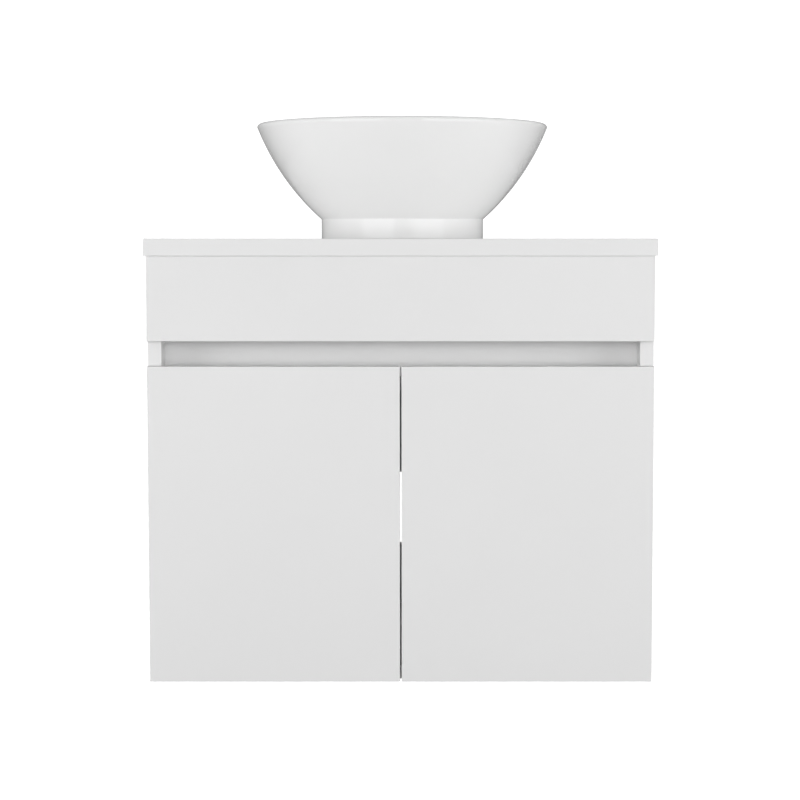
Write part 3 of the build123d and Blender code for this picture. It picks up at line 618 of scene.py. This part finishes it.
def eased_copy(node, name, ease):
    """A cleaned copy of a CAD node, with its sharp edges rounded by ease metres."""
    work = bmesh.new()
    work.from_mesh(NODES[node].data)
    bmesh.ops.remove_doubles(work, verts=work.verts, dist=SAME_POINT)
    bmesh.ops.dissolve_limit(work, angle_limit=FLAT, verts=work.verts, edges=work.edges)
    mesh = bpy.data.meshes.new(name + "_rough")
    work.to_mesh(mesh)
    work.free()
    mesh.materials.append(MATERIALS[SLOT_OF[node]])
    mesh.shade_smooth()
    maker = bpy.data.objects.new(name + "_maker", mesh)
    scene.collection.objects.link(maker)
    bevel = maker.modifiers.new("ease", "BEVEL")
    bevel.width = ease
    bevel.segments = EASE_SEGMENTS
    bevel.limit_method = "ANGLE"
    bevel.angle_limit = SHARP
    weigh = maker.modifiers.new("weigh", "WEIGHTED_NORMAL")
    weigh.weight = 100  # large faces decide
    return hand_over(settle(maker, name), SLOT_OF[node], node)


# %% Boards
BOARD_EASE = 0.0004
BOARDS = [
    "side_panel_left", "side_panel_right", "bottom_panel", "back_panel_upper", "back_rail_lower",
    "top_rail_front", "top_rail_rear", "recess_board", "recess_shelf", "fascia", "benchtop",
    "door_left", "door_right",
]
for node in BOARDS:
    board = eased_copy(node, node + "_board", BOARD_EASE)
    print(board.name, len(board.data.polygons), "faces")

# %% [markdown]
# ## Hinges and fittings
#
# The hinges and brackets are pressed and folded from plated strip, so their edges are rolled over
# rather than cut square. The cam locks are die-cast, and the nut on the waste is turned. All of
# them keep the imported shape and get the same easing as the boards, only finer.

# %% Hinges, brackets, cams and nut
METAL_EASE = 0.00025
METAL = ["fascia_brackets", "cam_locks", "waste_backnut"]
for side in ("left", "right"):
    METAL += [f"{kind}_{side}" for kind in ("hinge_cups", "hinge_links", "hinge_arms", "hinge_plates")]
for node in METAL:
    fitting = eased_copy(node, node + "_metal", METAL_EASE)
    print(fitting.name, len(fitting.data.polygons), "faces")

# %% [markdown]
# ## Screws
#
# Thirty-one countersunk screws hold the brackets, benchtop, hinges and recess board. They are
# all one shape, so a Geometry Nodes tree makes one screw, cuts its cross recess, and sets a copy
# on each point it is given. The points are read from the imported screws, each with the way the
# screw goes in, and every head is turned by a different amount, as a hand leaves them.

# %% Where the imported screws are
AT_END = 1e-5  # metres from a screw's end


def islands(node):
    """The separate solids of a CAD node, each as a list of points."""
    work = bmesh.new()
    work.from_mesh(NODES[node].data)
    bmesh.ops.remove_doubles(work, verts=work.verts, dist=SAME_POINT)
    groups, reached = [], set()
    for first in work.verts:
        if first in reached:
            continue
        group, waiting = [], [first]
        reached.add(first)
        while waiting:
            point = waiting.pop()
            group.append(point.co.copy())
            for edge in point.link_edges:
                other = edge.other_vert(point)
                if other not in reached:
                    reached.add(other)
                    waiting.append(other)
        groups.append(group)
    work.free()
    return groups


def screw_line(points):
    """The middle of a screw's head, the way into the material, and the screw's length."""
    low = Vector(min(p[i] for p in points) for i in range(3))
    high = Vector(max(p[i] for p in points) for i in range(3))
    axis = max(range(3), key=lambda i: high[i] - low[i])
    along = Vector([float(i == axis) for i in range(3)])
    middle = (low + high) / 2
    width = {}
    for end in (low[axis], high[axis]):
        near = [p for p in points if abs(p[axis] - end) < AT_END]
        width[end] = max((p - middle).cross(along).length for p in near)
    head_end = max(width, key=width.get)
    head = middle.copy()
    head[axis] = head_end
    into = Vector([0.0, 0.0, 0.0])
    into[axis] = 1.0 if head_end == low[axis] else -1.0
    return head, into, high[axis] - low[axis]


print(len(islands("bracket_screws")), "bracket screws")

# %% Helpers for Geometry Nodes trees
def geometry_tree(name, numbers):
    """An empty Geometry Nodes tree with a mesh in and out, named numbers and a material."""
    tree = bpy.data.node_groups.new(name, "GeometryNodeTree")
    tree.interface.new_socket("Geometry", in_out="INPUT", socket_type="NodeSocketGeometry")
    for label, value in numbers.items():
        kind = "NodeSocketInt" if isinstance(value, int) else "NodeSocketFloat"
        socket = tree.interface.new_socket(label, in_out="INPUT", socket_type=kind)
        socket.default_value = value
    tree.interface.new_socket("Material", in_out="INPUT", socket_type="NodeSocketMaterial")
    tree.interface.new_socket("Geometry", in_out="OUTPUT", socket_type="NodeSocketGeometry")
    return tree, add(tree, "NodeGroupInput"), add(tree, "NodeGroupOutput")


def end_tree(tree, source, last, out):
    """Ends a tree: instances become real mesh, and the material is set."""
    real = add(tree, "GeometryNodeRealizeInstances")
    paint = add(tree, "GeometryNodeSetMaterial")
    tree.links.new(last, real.inputs["Geometry"])
    tree.links.new(real.outputs[0], paint.inputs["Geometry"])
    tree.links.new(source.outputs["Material"], paint.inputs["Material"])
    tree.links.new(paint.outputs[0], out.inputs["Geometry"])


def run_tree(tree, mesh, name, **values):
    """Runs a tree on a mesh with its inputs set, and returns the result as a plain object."""
    maker = bpy.data.objects.new(name + "_maker", mesh)
    scene.collection.objects.link(maker)
    modifier = maker.modifiers.new("make", "NODES")
    modifier.node_group = tree
    for item in tree.interface.items_tree:
        label = item.name.replace(" ", "_")
        if item.in_out == "INPUT" and label in values:
            modifier[item.identifier] = values[label]
    return settle(maker, name)


print("tree helpers ready")

# %% Screw tree
SCREW = {
    "Head Radius": 0.0040, "Head Height": 0.0024, "Shank Radius": 0.0020,
    "Recess Width": 0.0011, "Recess Length": 0.0045, "Recess Depth": 0.0016,
    "Length": 0.013, "Seed": 7,
}
HEAD_SIDES, SHANK_SIDES = 32, 16
TIP_R = 0.0003


def make_screw_tree():
    """One cross-recessed countersunk screw on each point, pointing along the point's own way."""
    tree, source, out = geometry_tree("screws", SCREW)
    link = tree.links.new
    head = put(add(tree, "GeometryNodeMeshCone"), Vertices=HEAD_SIDES)
    link(source.outputs["Head Radius"], head.inputs["Radius Bottom"])
    link(source.outputs["Shank Radius"], head.inputs["Radius Top"])
    link(source.outputs["Head Height"], head.inputs["Depth"])
    shank = put(add(tree, "GeometryNodeMeshCone"), Vertices=SHANK_SIDES, Radius_Top=TIP_R)
    link(source.outputs["Shank Radius"], shank.inputs["Radius Bottom"])
    link(source.outputs["Length"], shank.inputs["Depth"])
    whole = add(tree, "GeometryNodeMeshBoolean", operation="UNION")
    link(head.outputs["Mesh"], whole.inputs["Mesh 2"])
    link(shank.outputs["Mesh"], whole.inputs["Mesh 2"])
    cut = add(tree, "GeometryNodeMeshBoolean", operation="DIFFERENCE")
    link(whole.outputs["Mesh"], cut.inputs["Mesh 1"])
    for wide, long in (("Recess Width", "Recess Length"), ("Recess Length", "Recess Width")):
        size = add(tree, "ShaderNodeCombineXYZ")
        twice = add(tree, "ShaderNodeMath", operation="MULTIPLY")
        twice.inputs[1].default_value = 2.0
        link(source.outputs["Recess Depth"], twice.inputs[0])
        link(source.outputs[wide], size.inputs["X"])
        link(source.outputs[long], size.inputs["Y"])
        link(twice.outputs[0], size.inputs["Z"])
        slot = add(tree, "GeometryNodeMeshCube")
        link(size.outputs[0], slot.inputs["Size"])
        link(slot.outputs["Mesh"], cut.inputs["Mesh 2"])
    into = add(tree, "GeometryNodeInputNamedAttribute", data_type="FLOAT_VECTOR")
    into.inputs["Name"].default_value = "into"
    aim = add(tree, "FunctionNodeAlignRotationToVector", axis="Z")
    link(into.outputs["Attribute"], aim.inputs["Vector"])
    spin = add(tree, "FunctionNodeRandomValue", data_type="FLOAT")
    spin.inputs["Max"].default_value = pi / 2
    link(source.outputs["Seed"], spin.inputs["Seed"])
    twist = add(tree, "FunctionNodeAxisAngleToRotation")
    link(spin.outputs["Value"], twist.inputs["Angle"])
    turned = add(tree, "FunctionNodeRotateRotation", rotation_space="LOCAL")
    link(aim.outputs[0], turned.inputs["Rotation"])
    link(twist.outputs[0], turned.inputs["Rotate By"])
    place = add(tree, "GeometryNodeInstanceOnPoints")
    link(source.outputs["Geometry"], place.inputs["Points"])
    link(cut.outputs["Mesh"], place.inputs["Instance"])
    link(turned.outputs[0], place.inputs["Rotation"])
    end_tree(tree, source, place.outputs[0], out)
    return tree


SCREW_TREE = make_screw_tree()
print("screw tree has", len(SCREW_TREE.nodes), "nodes")

# %% Screws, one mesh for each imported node
def screws_for(node):
    """Remakes one packed group of equal screws."""
    lines = [screw_line(points) for points in islands(node)]
    mesh = bpy.data.meshes.new(node + "_points")
    mesh.from_pydata([head for head, _, _ in lines], [], [])
    into = mesh.attributes.new("into", "FLOAT_VECTOR", "POINT")
    for spot, (_, direction, _) in zip(into.data, lines):
        spot.vector = direction
    zinc = MATERIALS["zinc_steel"]
    piece = run_tree(SCREW_TREE, mesh, node + "_set", Length=lines[0][2], Material=zinc)
    return hand_over(piece, "zinc_steel", node), len(lines)


SCREW_NODES = ["bracket_screws", "benchtop_screws", "recess_screws"]
SCREW_NODES += [f"{kind}_{side}" for kind in ("cup_screws", "plate_screws") for side in ("left", "right")]
for node in SCREW_NODES:
    piece, count = screws_for(node)
    print(piece.name, count, "screws,", len(piece.data.polygons), "faces")

# %% [markdown]
# ## Turned pieces
#
# The basin, the waste and the plug are round about one upright axis: the basin is cast in a round
# mould, and the metal is turned on a lathe. A lathe is also the rule that makes their meshes. Each
# outline is a short list of corners and arcs, and a Geometry Nodes tree carries it round the
# axis, closes the poles and sets the material.

# %% Lathe tree
LATHE_R = 0.1  # radius of the guide circle that the outline is carried round


def make_lathe_tree():
    """Carries an outline, drawn with X as radius and Z as height, round an upright axis."""
    tree, source, out = geometry_tree("lathe", {"Axis X": 0.0, "Axis Y": 0.0, "Segments": 160})
    link = tree.links.new
    outline = add(tree, "GeometryNodeMeshToCurve")
    link(source.outputs["Geometry"], outline.inputs["Mesh"])
    place = add(tree, "GeometryNodeInputPosition")
    split = add(tree, "ShaderNodeSeparateXYZ")
    link(place.outputs[0], split.inputs[0])
    out_by = add(tree, "ShaderNodeMath", operation="SUBTRACT")
    out_by.inputs[1].default_value = LATHE_R
    link(split.outputs["X"], out_by.inputs[0])
    down = add(tree, "ShaderNodeMath", operation="MULTIPLY")
    down.inputs[1].default_value = -1.0
    link(split.outputs["Z"], down.inputs[0])
    flat = add(tree, "ShaderNodeCombineXYZ")
    link(out_by.outputs[0], flat.inputs["X"])
    link(down.outputs[0], flat.inputs["Y"])
    laid = add(tree, "GeometryNodeSetPosition")
    link(outline.outputs[0], laid.inputs["Geometry"])
    link(flat.outputs[0], laid.inputs["Position"])
    guide = put(add(tree, "GeometryNodeCurvePrimitiveCircle"), Radius=LATHE_R)
    link(source.outputs["Segments"], guide.inputs["Resolution"])
    carried = add(tree, "GeometryNodeCurveToMesh")
    link(guide.outputs["Curve"], carried.inputs["Curve"])
    link(laid.outputs[0], carried.inputs["Profile Curve"])
    closed = put(add(tree, "GeometryNodeMergeByDistance"), Distance=SAME_POINT)
    link(carried.outputs[0], closed.inputs["Geometry"])
    axis = add(tree, "ShaderNodeCombineXYZ")
    link(source.outputs["Axis X"], axis.inputs["X"])
    link(source.outputs["Axis Y"], axis.inputs["Y"])
    moved = add(tree, "GeometryNodeTransform")
    link(closed.outputs[0], moved.inputs["Geometry"])
    link(axis.outputs[0], moved.inputs["Translation"])
    end_tree(tree, source, moved.outputs[0], out)
    return tree


LATHE_TREE = make_lathe_tree()
print("lathe tree has", len(LATHE_TREE.nodes), "nodes")

# %% Arcs of an outline
def circle_through(a, b, c):
    """Centre of the circle through three points of an outline."""
    (ax, ay), (bx, by), (cx, cy) = a, b, c
    d = 2 * (ax * (by - cy) + bx * (cy - ay) + cx * (ay - by))
    a2, b2, c2 = ax * ax + ay * ay, bx * bx + by * by, cx * cx + cy * cy
    x = (a2 * (by - cy) + b2 * (cy - ay) + c2 * (ay - by)) / d
    y = (a2 * (cx - bx) + b2 * (ax - cx) + c2 * (bx - ax)) / d
    return x, y


def sweep_round(centre, start, turn, steps):
    """Points after the start, round a centre, by a signed turn."""
    rx, ry = start[0] - centre[0], start[1] - centre[1]
    made = []
    for step in range(1, steps + 1):
        angle = turn * step / steps
        x = rx * cos(angle) - ry * sin(angle)
        y = rx * sin(angle) + ry * cos(angle)
        made.append((centre[0] + x, centre[1] + y))
    return made


def signed_turn(centre, start, end, clockwise):
    """The turn from start to end round a centre, in the given sense."""
    turn = atan2(end[1] - centre[1], end[0] - centre[0]) - atan2(start[1] - centre[1], start[0] - centre[0])
    if clockwise:
        return -((-turn) % tau)
    return turn % tau


def arc_by(start, through, end, steps):
    """Points after the start, along the arc through three points."""
    centre = circle_through(start, through, end)
    cross = (through[0] - start[0]) * (end[1] - start[1]) - (through[1] - start[1]) * (end[0] - start[0])
    return sweep_round(centre, start, signed_turn(centre, start, end, cross < 0), steps)


def tangent_arc(start, direction, end, steps):
    """Points after the start, along the arc that leaves it in a direction and meets the end."""
    direction = direction.normalized()
    chord = Vector((end[0] - start[0], end[1] - start[1]))
    across = Vector((-direction.y, direction.x))
    radius = chord.length_squared / (2 * chord.dot(across))
    centre = (start[0] + across.x * radius, start[1] + across.y * radius)
    return sweep_round(centre, start, signed_turn(centre, start, end, radius < 0), steps)


print("arc helpers ready")

# %% Corners of an outline
EASE_STEPS = 4
BRACE = 1.35  # how far from a corner its braces are, as a share of its ease


def rounded(before, corner, after, ease):
    """Points of a small arc that eases a corner between two straight or nearly straight runs."""
    a = Vector((before[0] - corner[0], before[1] - corner[1])).normalized()
    b = Vector((after[0] - corner[0], after[1] - corner[1])).normalized()
    half = a.angle(b) / 2
    reach = ease * cos(half) / sin(half)
    start = (corner[0] + a.x * reach, corner[1] + a.y * reach)
    end = (corner[0] + b.x * reach, corner[1] + b.y * reach)
    bisector = (a + b).normalized()
    centre = (corner[0] + bisector.x * ease / sin(half), corner[1] + bisector.y * ease / sin(half))
    turn = signed_turn(centre, start, end, False)
    if turn > pi:
        turn -= tau
    return [start] + sweep_round(centre, start, turn, EASE_STEPS)


def braced(before, corner, after, ease):
    """A rounded corner with a point on each straight beside it, which keeps their shading flat."""
    in_way = (Vector(before) - Vector(corner)).normalized() * ease * BRACE
    out_way = (Vector(after) - Vector(corner)).normalized() * ease * BRACE
    first, last = Vector(corner) + in_way, Vector(corner) + out_way
    return [tuple(first), *rounded(before, corner, after, ease), tuple(last)]


print("corner helpers ready")

# %% Turn an outline into a piece
CREASE = radians(40)  # sharper edges stay sharp to the eye


def turn_piece(name, outline, closed, slot_name, node, segments):
    """Turns an outline about the basin's axis into a smooth piece for one CAD node."""
    count = len(outline)
    edges = [(i, i + 1) for i in range(count - 1)]
    if closed:
        edges.append((count - 1, 0))
    mesh = bpy.data.meshes.new(name + "_outline")
    mesh.from_pydata([(r, 0.0, z) for r, z in outline], edges, [])
    piece = run_tree(
        LATHE_TREE, mesh, name, Axis_X=basin_mid.x, Axis_Y=basin_mid.y, Segments=segments,
        Material=MATERIALS[slot_name],
    )
    work = bmesh.new()
    work.from_mesh(piece.data)
    if work.calc_volume(signed=True) < 0:
        bmesh.ops.reverse_faces(work, faces=work.faces)
    open_edges = sum(not edge.is_manifold for edge in work.edges)
    work.to_mesh(piece.data)
    work.free()
    piece.data.shade_smooth()
    piece.data.set_sharp_from_angle(angle=CREASE)
    hand_over(piece, slot_name, node)
    print(name, len(piece.data.polygons), "faces,", open_edges, "open edges")
    return piece


print("lathe ready")

# %% [markdown]
# ### The basin
#
# The side of the bowl is one long arc from the foot to a thin rounded lip. Glaze gathers in the
# corner between bowl and foot and rounds every outer edge, so those corners are eased by a
# millimetre or two. Beside each eased corner of the foot one more point braces the straight wall:
# without it the smooth shading would tilt the whole wall and smear its reflections. The floor of
# the bowl has a sunk seat, so that the waste drains flush.

# %% Basin
rim_r = (basin_high.x - basin_low.x) / 2
sink_z = basin_low.z
rim_z = basin_high.z - sink_z
WALL = 0.009
LIP = 0.004
FOOT_R, FOOT_H, FOOT_WALL = 0.103, 0.025, 0.011
UNDER_BOWL, FLOOR_T = 0.016, 0.013
HOLE_R, SEAT_R, SEAT_SINK = 0.023, 0.035, 0.0025
BULGE = (0.57, 0.43)  # middle of the bowl's side, as shares of its run outwards and its rise
BULGE_LEAN = (0.81, 0.59)  # the way across the wall there, inwards and up
BEAD_GROOVE = (0.095, 0.100, 0.002)  # inner and outer radius, depth
FOOT_EASE, WAIST_EASE, CAVE_EASE, CAVE_FOOT_EASE = 0.0012, 0.0020, 0.0030, 0.0008
SEAT_EASE, HOLE_EASE = 0.0010, 0.0008
SIDE_STEPS, LIP_STEPS, INSIDE_STEPS, FLOOR_STEPS = 40, 12, 36, 14
WAIST_STEPS = 2  # steps of the side that the waist's ease takes up
BASIN_SEGMENTS = 192


def basin_outline():
    """From under the foot, up the outside, over the lip, down to the hole and back below."""
    bulge = (FOOT_R + BULGE[0] * (rim_r - FOOT_R), FOOT_H + BULGE[1] * (rim_z - FOOT_H))
    inside = (bulge[0] - WALL * BULGE_LEAN[0], bulge[1] + WALL * BULGE_LEAN[1])
    low_in = (FOOT_R - WALL * sqrt(0.5), FOOT_H + WALL * sqrt(0.5))
    lip_out, lip_top, lip_in = (rim_r, rim_z - LIP), (rim_r - WALL / 2, rim_z), (rim_r - WALL, rim_z - LIP)
    floor_z = UNDER_BOWL + FLOOR_T
    seat_z = floor_z - SEAT_SINK
    cave_r = FOOT_R - FOOT_WALL
    groove_in, groove_out, groove_z = BEAD_GROOVE
    foot_top = (FOOT_R, FOOT_H)
    up_side = arc_by(foot_top, bulge, lip_out, SIDE_STEPS)
    points = [(groove_in, 0.0), (groove_in, groove_z), (groove_out, groove_z), (groove_out, 0.0)]
    points += braced((groove_out, 0.0), (FOOT_R, 0.0), foot_top, FOOT_EASE)
    points += braced((FOOT_R, 0.0), foot_top, up_side[WAIST_STEPS], WAIST_EASE)
    points += up_side[WAIST_STEPS:]
    points += arc_by(lip_out, lip_top, lip_in, LIP_STEPS)
    down_side = arc_by(lip_in, inside, low_in, INSIDE_STEPS)
    points += down_side
    run = Vector((down_side[-1][0] - down_side[-2][0], down_side[-1][1] - down_side[-2][1]))
    seat_edge = (SEAT_R + WALL, floor_z)
    points += tangent_arc(low_in, run, seat_edge, FLOOR_STEPS)
    points += rounded(seat_edge, (SEAT_R, floor_z), (SEAT_R, seat_z), SEAT_EASE)
    points += [(SEAT_R, seat_z)]
    points += rounded((SEAT_R, seat_z), (HOLE_R, seat_z), (HOLE_R, UNDER_BOWL), HOLE_EASE)
    points += [(HOLE_R, UNDER_BOWL)]
    points += braced((HOLE_R, UNDER_BOWL), (cave_r, UNDER_BOWL), (cave_r, 0.0), CAVE_EASE)
    points += braced((cave_r, UNDER_BOWL), (cave_r, 0.0), (groove_in, 0.0), CAVE_FOOT_EASE)
    return [(r, sink_z + z) for r, z in points]


turn_piece("basin_glazed", basin_outline(), True, "white_glaze", "basin", BASIN_SEGMENTS)

# %% [markdown]
# ### The waste
#
# The waste hangs in the basin's hole by its flange. Below the benchtop its tail carries the
# thread that a nut and a trap screw on to. The thread is a ridge that climbs as it goes round, so
# once the body is turned smooth, each point of the tail moves in by an amount that depends on its
# height and on its angle together.

# %% Waste body
body_low, body_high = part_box("waste_body")
FLANGE_T = 0.0025
FLANGE_R = (body_high.x - body_low.x) / 2
THROAT_R = 0.025
BORE_R = 0.0165
TAIL_R = 0.0209
THREAD_PITCH = 0.002309
THREAD_DEPTH = 0.0011
RINGS_PER_PITCH = 8
THREAD_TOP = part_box("benchtop")[1].z
UNDER_EASE, BROW_EASE, THROAT_EASE = 0.0004, 0.0012, 0.0010
WASTE_SEGMENTS = 72
ON_TAIL = 1e-5  # metres


def waste_outline():
    """Up the tail in fine rings, round the flange and down the bore."""
    tail, top = body_low.z, body_high.z
    under = top - FLANGE_T
    throat = (BORE_R, top - (THROAT_R - BORE_R) / 2)
    rings = int((THREAD_TOP - tail) / THREAD_PITCH * RINGS_PER_PITCH)
    points = [(TAIL_R, tail + (THREAD_TOP - tail) * i / rings) for i in range(rings + 1)]
    points += [(TAIL_R, under)]
    points += rounded((TAIL_R, under), (FLANGE_R, under), (FLANGE_R, top), UNDER_EASE)
    points += rounded((FLANGE_R, under), (FLANGE_R, top), (THROAT_R, top), BROW_EASE)
    points += rounded((FLANGE_R, top), (THROAT_R, top), throat, THROAT_EASE)
    points += [throat]
    points += [(BORE_R, tail)]
    return points


def cut_thread(piece):
    """Sinks the valleys of a single-start thread into the outside of the tail."""
    moved = 0
    for vertex in piece.data.vertices:
        x, y = vertex.co.x - basin_mid.x, vertex.co.y - basin_mid.y
        if vertex.co.z > THREAD_TOP + SAME_POINT or abs(sqrt(x * x + y * y) - TAIL_R) > ON_TAIL:
            continue
        phase = (vertex.co.z / THREAD_PITCH - atan2(y, x) / tau) % 1.0
        depth = THREAD_DEPTH * abs(2 * phase - 1)
        scale = (TAIL_R - depth) / TAIL_R
        vertex.co.x, vertex.co.y = basin_mid.x + x * scale, basin_mid.y + y * scale
        moved += 1
    print("thread moved", moved, "points")


waste = turn_piece("waste_body_turned", waste_outline(), True, "chrome_waste", "waste_body", WASTE_SEGMENTS)
cut_thread(waste)

# %% [markdown]
# ### The bridge in the waste
#
# Inside the bore three thin spokes carry a hub, and the plug's cartridge sits in the hub's hole.
# They are cast with the body, so they belong to the same part, but they aren't round and the
# lathe can't make them. A few quads for each spoke and a ring for the hub are enough, and a Bevel
# modifier takes the edge off, as the polishing wheel does.

# %% Waste bridge
BRIDGE_Z = body_high.z - 0.018  # top of the bridge
BRIDGE_T = 0.004
SPOKES = 3
SPOKE_W = 0.004
HUB_R = 0.008
STUB_R = 0.0045  # the hole for the cartridge
HUB_STEPS = 36
INTO_HUB, INTO_WALL = 0.001, 0.0005  # how far a spoke runs into what holds it
BRIDGE_EASE = 0.0005


def bridge():
    """Three spokes and a drilled hub across the bore, which carry the plug's cartridge."""
    work = bmesh.new()
    middle = Vector((basin_mid.x, basin_mid.y, BRIDGE_Z))
    for spoke in range(SPOKES):
        angle = tau * spoke / SPOKES + pi / 2
        out, side = Vector((cos(angle), sin(angle), 0)), Vector((-sin(angle), cos(angle), 0))
        start = middle + out * (HUB_R - INTO_HUB)
        end = middle + out * (BORE_R + INTO_WALL)
        ring = []
        for point in (start, end):
            for across, drop in ((-1, 0), (1, 0), (1, 1), (-1, 1)):
                corner = point + side * across * SPOKE_W / 2 - Vector((0, 0, drop * BRIDGE_T))
                ring.append(work.verts.new(corner))
        for i in range(4):
            j = (i + 1) % 4
            work.faces.new((ring[i], ring[j], ring[4 + j], ring[4 + i]))
        work.faces.new(ring[3::-1])
        work.faces.new(ring[4:])
    hub = []
    for radius, drop in ((STUB_R, 0), (HUB_R, 0), (HUB_R, 1), (STUB_R, 1)):
        hub_z = BRIDGE_Z - drop * BRIDGE_T
        turns = [tau * i / HUB_STEPS for i in range(HUB_STEPS)]
        spots = [(middle.x + radius * cos(turn), middle.y + radius * sin(turn), hub_z) for turn in turns]
        hub.append([work.verts.new(spot) for spot in spots])
    for row in range(4):
        low, high = hub[row], hub[(row + 1) % 4]
        for i in range(HUB_STEPS):
            j = (i + 1) % HUB_STEPS
            work.faces.new((low[i], low[j], high[j], high[i]))
    bmesh.ops.recalc_face_normals(work, faces=work.faces)
    mesh = bpy.data.meshes.new("waste_bridge")
    work.to_mesh(mesh)
    work.free()
    mesh.materials.append(MATERIALS["chrome_waste"])
    maker = bpy.data.objects.new("waste_bridge_maker", mesh)
    scene.collection.objects.link(maker)
    bevel = maker.modifiers.new("ease", "BEVEL")
    bevel.width = BRIDGE_EASE
    bevel.segments = EASE_SEGMENTS
    piece = settle(maker, "waste_bridge")
    return hand_over(piece, "chrome_waste", "waste_body")


print("bridge", len(bridge().data.polygons), "faces")

# %% [markdown]
# ### The plug
#
# The plug is the one piece of the waste that anyone touches: a slightly crowned disc with a
# pressed rim, on a stem that goes down into the cartridge. It is turned like the body, from the
# crown's pole to the tip of the stem. Its outline begins and ends on the axis, so it isn't closed
# into a loop, and both poles close when the doubled points are merged.

# %% Plug
plug_low, plug_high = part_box("waste_plug")
PLUG_R = (plug_high.x - plug_low.x) / 2
PLUG_T = 0.005
PLUG_EDGE = 0.0017
STEM_R = 0.003
CROWN_STEPS = 24
RIM_EASE, UNDER_RIM_EASE, TIP_EASE = 0.0005, 0.0004, 0.0006
PLUG_SEGMENTS = 96


def plug_outline():
    """From the crown's pole, over the rim and down the stem to its tip."""
    top = plug_high.z
    under = top - PLUG_T
    brow = (PLUG_R, under + PLUG_EDGE)
    crown = tangent_arc((0.0, top), Vector((1, 0)), brow, CROWN_STEPS)
    points = [(0.0, top)] + crown[:-1]
    points += rounded(crown[-2], brow, (PLUG_R, under), RIM_EASE)
    points += rounded(brow, (PLUG_R, under), (STEM_R, under), UNDER_RIM_EASE)
    points += [(STEM_R, under)]
    points += rounded((STEM_R, under), (STEM_R, plug_low.z), (0.0, plug_low.z), TIP_EASE)
    points += [(0.0, plug_low.z)]
    return points


turn_piece("waste_plug_turned", plug_outline(), False, "chrome_waste", "waste_plug", PLUG_SEGMENTS)
